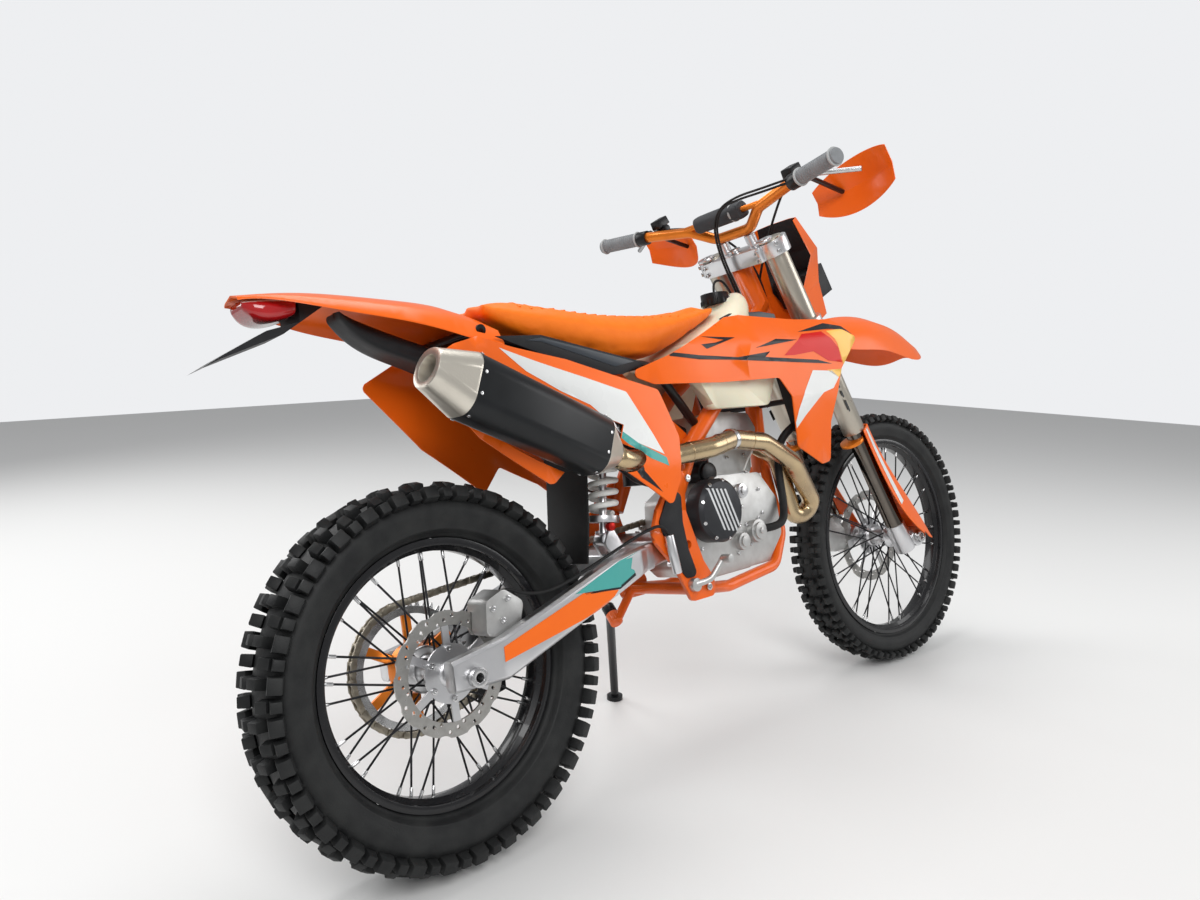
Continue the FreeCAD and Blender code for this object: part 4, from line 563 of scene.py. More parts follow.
for end, wheel in WHEELS.items():
    body, place = end + "_wheel", wheel["place"]
    nipples = []
    for side in (-1, 1):
        for index in range(SPOKES_A_SIDE):
            angle = FULL_TURN * (index + SPOKE_LAG_SHARE * side) / SPOKES_A_SIDE
            far = angle + (SPOKE_SWEEP if index % 2 else -SPOKE_SWEEP)
            root = Vector((wheel["flange"] * math.cos(angle), side * (wheel["hub_half"] - SPOKE_SEAT),
                wheel["flange"] * math.sin(angle)))
            tip = Vector((wheel["well"] * math.cos(far), side * SPOKE_LANDING, wheel["well"] * math.sin(far)))
            nipples.append((tip, root - tip))
    rounds(end + "_nipples", NIPPLE, nipples, bright_steel, body, place)
    dressed(end + "_rim", rim_black, FINE_EDGE, RIM_SMOOTH)
    dressed(end + "_spokes", spoke_black)
    dressed(end + "_hub", machined_alloy)
    rotor = drilled(end + "_disc", disc_steel, place, wheel["disc_face"], wheel["disc"])
    divided(rotor, place, machined_alloy,
        lambda middle, normal: math.hypot(middle.x, middle.z) < DISC_CARRIER)
    out = 1 if wheel["disc_face"] > 0 else -1
    spots = circled(DISC_BOLT_CIRCLE, wheel["disc_face"], BOLTS_A_RING, out)
    bolted(end + "_disc_bolts", spots, DISC_BOLT, None, body, place)
    dressed(end + "_axle", bright_steel, PLAIN_EDGE)
carrier = dressed("rear_sprocket", orange_alloy)
divided(carrier, REAR_WHEEL, bright_steel, lambda middle, normal: math.hypot(middle.x, middle.z) > TOOTH_RING)
spots = circled(SPROCKET_BOLT_CIRCLE, SPROCKET_FACE, BOLTS_A_RING, 1)
bolted("sprocket_bolts", spots, SPROCKET_BOLT, None, "rear_wheel", REAR_WHEEL)
for node in ("rear_caliper", "front_caliper", "front_sprocket"):
    dressed(node, cast_alloy, CAST_EDGE)
bolted("rear_caliper_bolts", sideways(CALIPER_BOLTS, CALIPER_OUT, (-1,)), CALIPER_BOLT, "rear_caliper",
    place=REAR_WHEEL)


# Chain. A roller chain of 114 links between the two sprockets. Outer and inner links, each a pair of
# waisted side plates, take turns, and every joint has a roller on a pin with riveted ends.
PITCH, LINKS = 15.875, 114
REAR_PITCH_RADIUS, FRONT_PITCH_RADIUS, REAR_TEETH, FRONT_TEETH = 121.36, 35.67, 48, 14
FRONT_SPROCKET = Vector((646, 0, 482 - REAR_RADIUS))
CHAIN_TILT = math.atan2(FRONT_SPROCKET.z, FRONT_SPROCKET.x)
CHAIN_SPREAD = math.acos((REAR_PITCH_RADIUS - FRONT_PITCH_RADIUS) / FRONT_SPROCKET.length)
CHAIN_ACROSS, PLATE_THICK, PLATE_RADIUS, PLATE_SIDES, PLATE_BEVEL = 85.5, 1.9, 6.6, 18, 0.4
WAIST_SHARE, WAIST_PART_SHARE = 0.78, 0.25
# Each link: how far out its plates stand, and its pin's or roller's radius, half length and sides.
OUTER_LINK, INNER_LINK = (6.2, 2.6, 9.0, 8), (4.1, 5.1, 4.0, 12)
TOOTH_SIZE, TOOTH_TAPER, TOOTH_BEVEL, TOOTH_SUNK = (9, 5.8, 11.5), 0.36, 0.6, 8.4
ARC_STEPS = 90
chain_steel = finish("chain_steel", (0.40, 0.36, 0.29), (0.22, 0.19, 0.15), 0.7, 0.34, 0.2, 80, 0.15,
    Metallic=1.0)


def chain_line():
    """The pitch line's corners: two tangent runs and the arcs round both sprockets."""
    places = []
    for centre, radius, start, sweep in (
            (Vector(), REAR_PITCH_RADIUS, CHAIN_TILT + CHAIN_SPREAD, FULL_TURN - 2 * CHAIN_SPREAD),
            (FRONT_SPROCKET, FRONT_PITCH_RADIUS, CHAIN_TILT - CHAIN_SPREAD, 2 * CHAIN_SPREAD)):
        for step in range(ARC_STEPS + 1):
            angle = start + sweep * step / ARC_STEPS
            places.append(centre + Vector((radius * math.cos(angle), 0, radius * math.sin(angle))))
    return places + places[:1]


def spaced(line, count):
    """Points at even steps along a closed line of corners."""
    runs = [(b - a).length for a, b in zip(line, line[1:])]
    step = sum(runs) / count
    places, gone, index = [], 0.0, 0
    for number in range(count):
        wanted = number * step
        while gone + runs[index] < wanted:
            gone += runs[index]
            index += 1
        places.append(line[index].lerp(line[index + 1], (wanted - gone) / runs[index]))
    return places


def link_plate(across):
    """A side plate with two round ends and a waist."""
    piece = cylinder(PLATE_RADIUS, PLATE_THICK, PLATE_SIDES, PLATE_BEVEL)
    for vertex in piece.data.vertices:
        x, y, z = vertex.co
        waist = WAIST_SHARE if abs(x) < WAIST_PART_SHARE * PLATE_RADIUS else 1
        vertex.co = (x + math.copysign(PITCH / 2, x), across + z, y * waist)
    return piece


def link(name, out, radius, half, steps):
    """A link: two side plates, and across their front joint a pin or a roller."""
    pin = cylinder(radius, 2 * half, steps)
    pin.data.transform(Matrix.Translation((PITCH / 2, half, 0)) @ Matrix.Rotation(math.pi / 2, 4, "X"))
    return joined([link_plate(out), link_plate(-out - PLATE_THICK), pin], name)


def toothed(name, centre, pitch_radius, count, first, body):
    """Teeth that stand between the chain's rollers, all round a sprocket."""
    tooth = block(TOOTH_SIZE, TOOTH_TAPER, TOOTH_BEVEL, 1)
    middle = Matrix.Translation(centre + Vector((0, CHAIN_ACROSS, 0)))
    out = Matrix.Translation((0, 0, pitch_radius - TOOTH_SUNK))
    turns = [math.pi / 2 - first - FULL_TURN * (index + 0.5) / count for index in range(count)]
    places = [middle @ Matrix.Rotation(turn, 4, "Y") @ out for turn in turns]
    return coated(settled(repeated(tooth, places, name), REAR_WHEEL), bright_steel, body)


pins = spaced(chain_line(), LINKS)
links = {"outer": [], "inner": []}
for index, pin in enumerate(pins):
    ahead = pins[(index + 1) % len(pins)] - pin
    turn = Matrix.Rotation(-math.atan2(ahead.z, ahead.x), 4, "Y")
    middle = pin + ahead / 2 + Vector((0, CHAIN_ACROSS, 0))
    links["outer" if index % 2 else "inner"].append(Matrix.Translation(middle) @ turn)
chain = joined([repeated(link("outer_link", *OUTER_LINK), links["outer"], "outer_links"),
    repeated(link("inner_link", *INNER_LINK), links["inner"], "inner_links")], "roller_chain")
coated(settled(smooth(chain, EASED), REAR_WHEEL), chain_steel, "chassis", replaces=["chain"])
toothed("rear_teeth", Vector(), REAR_PITCH_RADIUS, REAR_TEETH, CHAIN_TILT + CHAIN_SPREAD, "rear_wheel")
toothed("front_teeth", FRONT_SPROCKET, FRONT_PITCH_RADIUS, FRONT_TEETH, CHAIN_TILT, "chassis")


# Chain guide. Two plates of black plastic hang ahead of the rear sprocket, one on each side of the
# chain's lower run, and keep it in line. Each is cut to its outline with its edges eased.
GUIDE_INNER, GUIDE_OUTER, GUIDE_BEVEL = (69, 73), (97, 100), 1.2
GUIDE = ((122, 238), (190, 250), (196, 372), (156, 366), (143, 322), (129, 290))
guide_plastic = finish("guide_plastic", (0.03, 0.03, 0.032), roughness=0.5, bump=0.2)
PLATE_EDGE = 50


def plate(name, outline, across, bevel, material, lean=lambda x: 0):
    """A flat plate cut to an outline in side view, between two places across."""
    low, high = sorted(across)
    deselect()
    bpy.ops.mesh.primitive_circle_add(vertices=len(outline), fill_type="NGON")
    piece = bpy.context.object
    piece.name = name
    for vertex, (x, z) in zip(piece.data.vertices, outline):
        vertex.co = (x, low + lean(x), z)
    faced(worked(piece, "SOLIDIFY", thickness=high - low, offset=1))
    worked(piece, "BEVEL", width=bevel, segments=2, limit_method="ANGLE",
        angle_limit=math.radians(PLATE_EDGE))
    middle = sum(vertex.co.y for vertex in piece.data.vertices) / len(piece.data.vertices)
    wanted = (low + high) / 2 + sum(lean(x) for x, z in outline) / len(outline)
    piece.data.transform(Matrix.Translation((0, wanted - middle, 0)))
    return placed(piece, BIKE, material, degrees=CRISP)


plate("chain_guide_inner", GUIDE, GUIDE_INNER, GUIDE_BEVEL, guide_plastic)
plate("chain_guide_outer", GUIDE, GUIDE_OUTER, GUIDE_BEVEL, guide_plastic)


# Frame. Steel tubes and forged plates welded together and powder-coated orange, with textured black
# guards where the boots rub. The alloy swingarm turns on a bolt through the plates and wears stickers.
ARM_OUT = 125
ARM_TEAL = ((236, 433), (356, 474), (453, 487), (476, 471), (398, 443), (349, 424), (280, 430))
ARM_ORANGE = ((63, 376), (256, 431), (345, 420), (311, 394), (62, 350))
ARM_LINE = ((259, 431), (345, 425), (402, 444), (409, 440), (349, 420.5), (261, 427))
PLATE_OUT, PLATE_BOLT, PLATE_BOLTS = 111, (8, 5), ((491, 540), (504, 460), (600, 610), (620, 372), (577, 470))
SIDEWAYS = 0.2
frame_paint = finish("frame_paint", (0.84, 0.125, 0.007), roughness=0.32, Coat_Weight=0.2, bump=0.03)
dark_plastic = finish("dark_plastic", (0.010, 0.0105, 0.012), (0.022, 0.022, 0.025), 0.4, 0.5, 0.2, 60, 0.25)
black_paint = finish("black_paint", (0.008, 0.008, 0.009), (0.018, 0.018, 0.020), 0.4, 0.3, 0.15, 40)
rubber = finish("rubber", (0.009, 0.009, 0.0095), (0.022, 0.022, 0.021), 0.5, 0.62, 0.2, 45, 0.3)
teal_film = finish("teal_film", (0.07, 0.36, 0.33), (0.06, 0.30, 0.28), 0.3, 0.35, 0.1, 20, Coat_Weight=0.15)
orange_film = finish("orange_film", (0.88, 0.15, 0.008), (0.80, 0.12, 0.007), 0.3, 0.35, 0.1, 20,
    Coat_Weight=0.15)
black_film = finish("black_film", (0.010, 0.013, 0.016), roughness=0.38, Coat_Weight=0.1)


def kept(piece, rule):
    """Drops the faces of a piece that a rule refuses."""
    picked(piece, lambda face: not rule(face))
    bpy.ops.mesh.delete(type="FACE")
    bpy.ops.object.mode_set(mode="OBJECT")
    return piece


def edges(outline):
    """An outline's edges, each from the corner before to the corner."""
    return list(zip(outline, outline[-1:] + outline[:-1]))


def within(outline, x, z):
    """Whether a place in side view lies inside an outline."""
    inside = False
    for (ax, az), (bx, bz) in edges(outline):
        if (az > z) != (bz > z) and x < (bx - ax) * (z - az) / (bz - az) + ax:
            inside = not inside
    return inside


def sticker(name, node, outline, material, side, place=BIKE, beyond=0.0, lift=0.5):
    """The part of a piece's own face inside an outline in side view, lifted off it."""
    low_x, high_x = min(x for x, z in outline), max(x for x, z in outline)
    low_z, high_z = min(z for x, z in outline), max(z for x, z in outline)
    piece = copied(name, node)
    piece.data.transform(place.inverted())
    corners = [vertex.co.copy() for vertex in piece.data.vertices]

    def near(face):
        xs = [corners[i].x for i in face.vertices]
        zs = [corners[i].z for i in face.vertices]
        return (max(xs) > low_x and min(xs) < high_x and max(zs) > low_z and min(zs) < high_z
            and face.normal.y * side > SIDEWAYS and face.center.y * side > beyond)

    kept(piece, near)
    for (ax, az), (bx, bz) in edges(outline):
        bpy.ops.object.mode_set(mode="EDIT")
        bpy.ops.mesh.select_all(action="SELECT")
        across = Vector((bz - az, 0, ax - bx)).normalized()
        bpy.ops.mesh.bisect(plane_co=(ax, 0, az), plane_no=across, threshold=MILLIMETRE)
        bpy.ops.object.mode_set(mode="OBJECT")
    kept(piece, lambda face: within(outline, face.center.x, face.center.z))
    worked(piece, "DISPLACE", strength=lift, mid_level=0)
    return placed(piece, place, material, frame["nodes"][node]["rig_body"], EASED)


def stuck(name, node, outline, material, **values):
    """The same sticker on both sides."""
    for side, hand in SIDES:
        sticker(name + "_" + hand, node, outline, material, side, **values)


dressed("main_frame", frame_paint)
dressed("frame_guards", dark_plastic, PLAIN_EDGE)
dressed("subframe", black_paint)
dressed("side_stand", black_paint, PLAIN_EDGE)
dressed("mud_flap", rubber, PLAIN_EDGE)
dressed("swingarm", machined_alloy, PLAIN_EDGE)
stuck("arm_teal", "swingarm", ARM_TEAL, teal_film, beyond=ARM_OUT)
stuck("arm_orange", "swingarm", ARM_ORANGE, orange_film, beyond=ARM_OUT)
stuck("arm_line", "swingarm", ARM_LINE, black_film, beyond=ARM_OUT)
bolted("plate_bolts", sideways(PLATE_BOLTS, PLATE_OUT), PLATE_BOLT, "main_frame")


# Shock absorber. A white coil spring round a machined damper body, with its gas bottle beside it and
# a red adjuster at the foot. The black rubber flap before it is held by two screws.
UPPER_EYE, LOWER_EYE = Vector((455, -45, 850)), Vector((399, -45, 512))
ADJUSTER_SHARE, ADJUSTER_OUT = 0.075, 16
BOTTLE_REAR, BOTTLE_TOP, ADJUSTER, FLAP_SCREW = 470, 760, (9, 12, 20, 1.2), (7, 4)
FLAP_SCREWS = [((356, y, 742), (-1, 0, 0)) for y in (-40, 40)]
spring_white = finish("spring_white", (0.78, 0.78, 0.75), (0.66, 0.66, 0.63), 0.4, 0.3, 0.1, 30)
red_anodised = finish("red_anodised", (0.55, 0.02, 0.015), roughness=0.25, Metallic=0.6)
shock = dressed("shock", machined_alloy, PLAIN_EDGE)
divided(shock, BIKE, black_paint, lambda middle, normal: middle.x > BOTTLE_REAR and middle.z < BOTTLE_TOP)
dressed("shock_spring", spring_white)
foot = LOWER_EYE.lerp(UPPER_EYE, ADJUSTER_SHARE) + Vector((0, -ADJUSTER_OUT, 0))
rounds("shock_adjuster", ADJUSTER, [(foot, (0, -1, 0))], red_anodised)
bolted("flap_screws", FLAP_SCREWS, FLAP_SCREW, "mud_flap")


# Engine. Cast alloy cases and head with machined faces, a dark clutch cover with pale stripes, and
# covers held by small bolts. It hangs in the frame by plates and through the swingarm's bolt.
CLUTCH, IGNITION, PUMP = (676, 530), (780, 500), (826, 462)
FILTER, KICK, STARTER = (772, 446), (790, 560), (722, 612)
STRIPES, STRIPE_LEFT, STRIPE_TOP, STRIPE_LOW, STRIPE_WIDTH, STRIPE_LEAN = 5, 634, 582, 486, 6, 36
STRIPE_STEP = Vector((13.5, -2, -3))
COVER_OUT, COVER_SIDES, COVER_BEVEL, CASE_OUT, LEFT_CASE_OUT, HEAD_OUT = 120, 48, 1.4, 108, 90, 90
# Each ring of cover bolts: its radius, place across, number, side, centre and turn of the first.
CLUTCH_RING, IGNITION_RING = (64, -130, 9, -1, CLUTCH, 0.2), (52, 90, 7, 1, IGNITION)
PUMP_RING = (34, -100, 4, -1, PUMP, 0.6)
SMALL_BOLT, CAM_BOLT = (4.2, 4.2), (6, 6)
CAM_BOLTS = [((x, side * 40, 770), (0, 0, 1)) for side in (-1, 1) for x in (785, 850)]
CASE_BOLTS = ((862, 500), (860, 556), (814, 450), (640, 450), (700, 420), (760, 420))
LEFT_CASE_BOLTS = ((862, 500), (860, 560), (820, 440), (700, 430), (650, 560), (720, 590))
HEAD_BOLTS = ((790, 640), (850, 640), (790, 600), (850, 600))
grey_paint = finish("grey_paint", (0.030, 0.031, 0.035), (0.018, 0.018, 0.02), 0.5, 0.38, 0.18, 50, 0.15,
    Metallic=0.3)
pale_film = finish("pale_film", (0.62, 0.63, 0.64), roughness=0.35, Metallic=0.4)
# Each turned cover: its centre in side view, its rounds of radius, foot and top, and its finish.
COVERS = {
    "pump_cover": (PUMP, ((27, 86, 104), (20, 104, 110), (7, 110, 114)), cast_alloy),
    "filter_cover": (FILTER, ((20, 86, 102), (13, 102, 106)), cast_alloy),
    "kick_boss": (KICK, ((17, 86, 102), (11, 102, 108)), machined_alloy),
    "starter_motor": (STARTER, ((29, 10, 62), (24, 62, 70)), black_paint),
}


dressed("crankcase", cast_alloy, CAST_EDGE)
covers = dressed("engine_covers", grey_paint, BROAD_EDGE)
divided(covers, BIKE, cast_alloy, lambda middle, normal: middle.y > 0)
dressed("cylinder_head", cast_alloy, CAST_EDGE)
for index in range(STRIPES):
    left, top, low = Vector((STRIPE_LEFT, STRIPE_TOP, STRIPE_LOW)) + STRIPE_STEP * index
    right = left + STRIPE_LEAN
    stripe = [(left, top), (left + STRIPE_WIDTH, top), (right + STRIPE_WIDTH, low), (right, low)]
    sticker("clutch_stripe", "engine_covers", stripe, pale_film, -1, beyond=COVER_OUT)
bolted("clutch_bolts", circled(*CLUTCH_RING), SMALL_BOLT, "engine_covers")
bolted("ignition_bolts", circled(*IGNITION_RING), SMALL_BOLT, "engine_covers")
bolted("case_bolts", sideways(CASE_BOLTS, CASE_OUT, (-1,)), SMALL_BOLT, "crankcase")
bolted("left_case_bolts", sideways(LEFT_CASE_BOLTS, LEFT_CASE_OUT, (1,)), SMALL_BOLT, "crankcase")
bolted("cam_cover_bolts", CAM_BOLTS, CAM_BOLT, "cylinder_head")
bolted("head_bolts", sideways(HEAD_BOLTS, HEAD_OUT), SMALL_BOLT, "cylinder_head")
for name, (centre, steps, material) in COVERS.items():
    turns = []
    for radius, low, high in steps:
        turn = cylinder(radius, high - low, COVER_SIDES, COVER_BEVEL)
        turn.data.transform(aimed((centre[0], -low, centre[1]), (0, -1, 0)))
        turns.append(turn)
    placed(joined(turns, name), BIKE, material, degrees=CRISP)
bolted("pump_bolts", circled(*PUMP_RING), SMALL_BOLT, "crankcase")


# Exhaust. A steel header, tinted gold by heat, in mandrel-bent pieces welded end to end and held by
# clamps. The muffler is a satin black sleeve riveted between two cream-silver end caps.
HEADER_CLAMP, WELD, BOOT_CLAMP = (24.6, 13, 40, 0.5), (22.9, 2.2, 40, 0.5), (27, 8, 40, 0.5)
RIVET = (3.4, 1.6)
HEADER_CLAMPS = (((744, -132, 679.5), (-1, 0, -0.02)), ((470, -124, 663.6), (-1, -0.02, 0.02)))
HEADER_WELDS = (((800, -131, 672), (-1, 0, 0.15)), ((690, -138, 673), (-1, -0.12, -0.13)),
    ((600, -130, 664.5), (-1, 0.2, -0.06)))
BOOT_CLAMPS = (((712, 18, 706), (-0.87, 0, 0.43)), ((652, 18, 736), (-0.9, 0, 0.42)))
MUFFLER_REAR, MUFFLER_FRONT = Vector((-36, -168, 862)), Vector((372, -142, 680))
RIVETS_A_RING, REAR_RING, FRONT_RING, RIVET_REACH = 8, 84, 60, 120
header_steel = finish("header_steel", (0.55, 0.42, 0.25), (0.36, 0.27, 0.18), 0.8, 0.26, 0.2, 16, 0.1,
    Metallic=1.0)
cream_metal = finish("cream_metal", (0.66, 0.62, 0.54), (0.54, 0.50, 0.44), 0.5, 0.32, 0.15, 24, 0.12,
    Metallic=0.8)
satin_black = finish("satin_black", (0.008, 0.009, 0.010), (0.013, 0.014, 0.016), 0.4, 0.34, 0.12, 30, 0.05)


dressed("exhaust_header", header_steel)
rounds("header_clamps", HEADER_CLAMP, HEADER_CLAMPS, bright_steel)
rounds("header_welds", WELD, HEADER_WELDS, header_steel)
dressed("muffler", satin_black, SMALL_EDGE)
dressed("muffler_caps", cream_metal, SMALL_EDGE)
along = (MUFFLER_FRONT - MUFFLER_REAR).normalized()
across = along.cross(Vector((0, 0, 1))).normalized()
rise = across.cross(along)
rivets = []
for distance in (REAR_RING, (MUFFLER_FRONT - MUFFLER_REAR).length - FRONT_RING):
    for step in range(RIVETS_A_RING):
        angle = FULL_TURN * (step + 0.5) / RIVETS_A_RING
        way = across * math.cos(angle) + rise * math.sin(angle)
        rivets.append((MUFFLER_REAR + along * distance + way * RIVET_REACH / 2, way))
bolted("muffler_rivets", rivets, RIVET, "muffler")
dressed("throttle_body", rubber, SMALL_EDGE)
rounds("boot_clamps", BOOT_CLAMP, BOOT_CLAMPS, bright_steel)


# Fuel tank and radiators. The tank is blow-moulded cream plastic that lets a little light through,
# with a black screw cap. Black-edged fins of soldered alloy strip fill each radiator's core.
CAP, CAP_FOOT, CAP_RADIUS, CAP_GRIPS, GRIP_RING, GRIP_FOOT = Vector((909, 0, 0)), 1013, 37, 20, 34, 1015
CAP_GRIP, COOLANT_HOSE, BREATHER, DRAIN = (2.6, 11, 8, 0.5), 9.5, 3, 2.4
CORE_FACE, FINS, FIN_SUNK, FIN_WIDTH, FIN_DEPTH, FIN_BEVEL = 150, 11, 0.5, 2.6, 3.4, 0.3
FIN_TOP_SHARE, FIN_LOW_SHARE, CORE_INSIDE, CORE_EDGE = 0.13, 0.87, 100, 0.4
# Where each end tank starts in side view: a point on its edge, and the edge's slope.
CORE_HEAD_LINE, CORE_FOOT_LINE = (950, 862, 0.2), (1000, 700, 0.38)
CORE_TOP = Vector((938, 0, 884)), Vector((1016, 0, 900))
CORE_FOOT = Vector((1000, 0, 664)), Vector((1068, 0, 690))
HOSE_SIDES, HOSE_ORDER = 4, 3
COOLANT_ROUTE = ((846, -100, 464), (872, -118, 464), (914, -112, 476), (944, -92, 530), (950, -86, 600),
    (956, -94, 654), (974, -116, 686), (1010, -130, 704))
BREATHER_ROUTE = ((909, 0, 1024), (910, 2, 1058), (926, 6, 1078), (954, 8, 1080), (972, 6, 1062),
    (982, 4, 1040), (986, 2, 1012))
DRAIN_ROUTE = ((866, -70, 694), (872, -86, 672), (858, -92, 648), (842, -84, 628), (836, -74, 604))
orange_plastic = finish("orange_plastic", (0.88, 0.135, 0.006), (0.80, 0.11, 0.006), 0.35, 0.30, 0.12, 14,
    0.02, Specular_IOR_Level=0.35)
white_film = finish("white_film", (0.74, 0.75, 0.74), (0.66, 0.67, 0.66), 0.3, 0.28, 0.1, 20,
    Coat_Weight=0.12)
grey_film = finish("grey_film", (0.035, 0.042, 0.052), (0.025, 0.030, 0.036), 0.4, 0.32, 0.1, 20,
    Coat_Weight=0.1)
yellow_film = finish("yellow_film", (0.88, 0.52, 0.10), (0.82, 0.46, 0.08), 0.3, 0.3, 0.1, 20,
    Coat_Weight=0.12)
red_film = finish("red_film", (0.62, 0.004, 0.001), (0.52, 0.003, 0.001), 0.3, 0.3, 0.1, 20)
tank_plastic = finish("tank_plastic", (0.80, 0.75, 0.58), (0.72, 0.66, 0.48), 0.5, 0.35, 0.12, 10, 0.03,
    Subsurface_Weight=0.15)
core_black = finish("core_black", (0.02, 0.021, 0.023), roughness=0.6)


def on_cap(middle, normal):
    """Whether a face is on the filler cap."""
    return middle.z > CAP_FOOT and (middle.xy - CAP.xy).length < CAP_RADIUS


def on_end_tank(middle, normal):
    """Whether a face is on the cast tank above or below a radiator's core."""
    above, below = [middle.z - z - slope * (middle.x - x) for x, z, slope in (CORE_HEAD_LINE, CORE_FOOT_LINE)]
    return abs(middle.y) > CORE_INSIDE and (above > 0 or below < 0)


def hose(name, route, radius, material=rubber, body="chassis", place=BIKE):
    """A smooth tube through a cord's route."""
    line = bpy.data.curves.new(name, "CURVE")
    line.dimensions = "3D"
    spline = line.splines.new("NURBS")
    spline.points.add(len(route) - 1)
    for point, spot in zip(spline.points, route):
        point.co = (*spot, 1)
    spline.order_u = HOSE_ORDER
    spline.use_endpoint_u = True
    line.bevel_depth = radius
    line.bevel_resolution = HOSE_SIDES
    line.use_fill_caps = True
    tube = linked(name, line)
    alone(tube)
    bpy.ops.object.convert(target="MESH")
    return placed(tube, place, material, body, SOFT)


tank = dressed("fuel_tank", tank_plastic)
divided(tank, BIKE, black_paint, on_cap)
turns = [FULL_TURN * index / CAP_GRIPS for index in range(CAP_GRIPS)]
grips = [Matrix.Translation(CAP + Vector((GRIP_RING * math.cos(turn), GRIP_RING * math.sin(turn),
    GRIP_FOOT))) for turn in turns]
coated(settled(repeated(cylinder(*CAP_GRIP), grips, "cap_grips"), BIKE), black_paint, "chassis")
core = dressed("radiators", core_black, CORE_EDGE)
divided(core, BIKE, cast_alloy, on_end_tank)
for side, hand in SIDES:
    strips = []
    for index in range(FINS):
        share = (index + 0.5) / FINS
        head, foot = CORE_TOP[0].lerp(CORE_TOP[1], share), CORE_FOOT[0].lerp(CORE_FOOT[1], share)
        top, low = head.lerp(foot, FIN_TOP_SHARE), head.lerp(foot, FIN_LOW_SHARE)
        strip = block((FIN_WIDTH, FIN_DEPTH, (top - low).length), 1.0, FIN_BEVEL)
        strip.data.transform(aimed(low + Vector((0, side * (CORE_FACE - FIN_SUNK), 0)), top - low))
        strips.append(strip)
    coated(settled(joined(strips, "fins_" + hand), BIKE), machined_alloy, "chassis")
hose("coolant_hose", COOLANT_ROUTE, COOLANT_HOSE)
hose("breather", BREATHER_ROUTE, BREATHER)
hose("white_drain", DRAIN_ROUTE, DRAIN, spring_white)
dressed("airbox", dark_plastic)


# Side panels and shrouds. Injection-moulded orange plastic that clips into rubber grommets, under
# printed film that is cut to shape. Every film follows the panel that it lies on.
PANEL_OUT, SHROUD_OUT, RED_LIFT = 40, 60, 0.8
STRIP_BEVEL, INSET_BEVEL, WING_BEVEL = 1.2, 0.8, 1.0
PANEL_FILMS = {
    "panel_white": (white_film, ((152, 902), (236, 871), (333, 837), (427, 802), (475, 713), (497, 668),
        (433, 697), (376, 742), (334, 782), (271, 814), (203, 856))),
    "panel_teal": (teal_film, ((376, 742), (433, 697), (501, 661), (504, 643), (459, 663), (407, 698),
        (378, 725))),
    "panel_wedge": (black_film, ((393, 697), (430, 666), (437, 640), (481, 592), (428, 628), (401, 665))),
}
SHROUD_FILMS = {
    "shroud_line": (black_film, ((564, 878), (647, 868), (765, 859), (873, 868), (854, 856), (1031, 841),
        (1081, 829), (914, 842), (763, 853), (645, 859), (562, 870))),
    "rear_chevron": (black_film, ((665, 910), (773, 905), (672, 881), (657, 891), (703, 894), (733, 900))),
    "fore_chevron": (black_film, ((827, 878), (902, 897), (970, 892), (887, 884))),
    "yellow_high": (yellow_film, ((1084, 911), (1140, 915), (1181, 893), (1191, 866), (1173, 845),
        (1125, 820), (1118, 847), (1108, 878))),
    "yellow_low": (yellow_film, ((1060, 815), (1124, 815), (1100, 795))),
    "dark_band": (black_film, ((987, 912), (1088, 932), (1212, 910), (1198, 886), (1147, 913), (1093, 916),
        (1039, 914))),
    "white_low": (white_film, ((1008, 817), (1077, 812), (1100, 795), (1076, 770), (1038, 762), (965, 711),
        (919, 674), (944, 727), (971, 770))),
}
RED_SWEEP = ((918, 857), (956, 881), (996, 906), (1066, 910), (1109, 868), (1118, 831), (1066, 838),
    (1019, 862), (951, 856))
STRIP = ((146, 923), (253, 924), (522, 862), (451, 841), (388, 841), (181, 910))
STRIP_INSET = ((211, 914), (253, 919), (486, 866), (431, 857), (250, 911))
STRIP_ACROSS, INSET_ACROSS, WING_ACROSS = (114, 118), (117, 119.2), (68, 72)
WING = ((830, 966), (861, 977), (957, 979), (1004, 972), (1010, 950), (1002, 936), (966, 946), (893, 946),
    (904, 958), (835, 961))
WING_REAR, WING_RUN, WING_SPREAD = 830, 356, 58

dressed("side_panels", orange_plastic)
dressed("shrouds", orange_plastic)
for name, (film, outline) in PANEL_FILMS.items():
    stuck(name, "side_panels", outline, film, beyond=PANEL_OUT)
for side, hand in SIDES:
    plate("strip_" + hand, STRIP, [side * across for across in STRIP_ACROSS], STRIP_BEVEL, dark_plastic)
    plate("strip_inset_" + hand, STRIP_INSET, [side * across for across in INSET_ACROSS], INSET_BEVEL,
        grey_film)
for name, (film, outline) in SHROUD_FILMS.items():
    stuck(name, "shrouds", outline, film, beyond=SHROUD_OUT)
stuck("red_sweep", "shrouds", RED_SWEEP, red_film, beyond=SHROUD_OUT, lift=RED_LIFT)
for side, hand in SIDES:
    plate("wing_" + hand, WING, [side * across for across in WING_ACROSS], WING_BEVEL, grey_film,
        lambda x: side * WING_SPREAD * (x - WING_REAR) / WING_RUN)


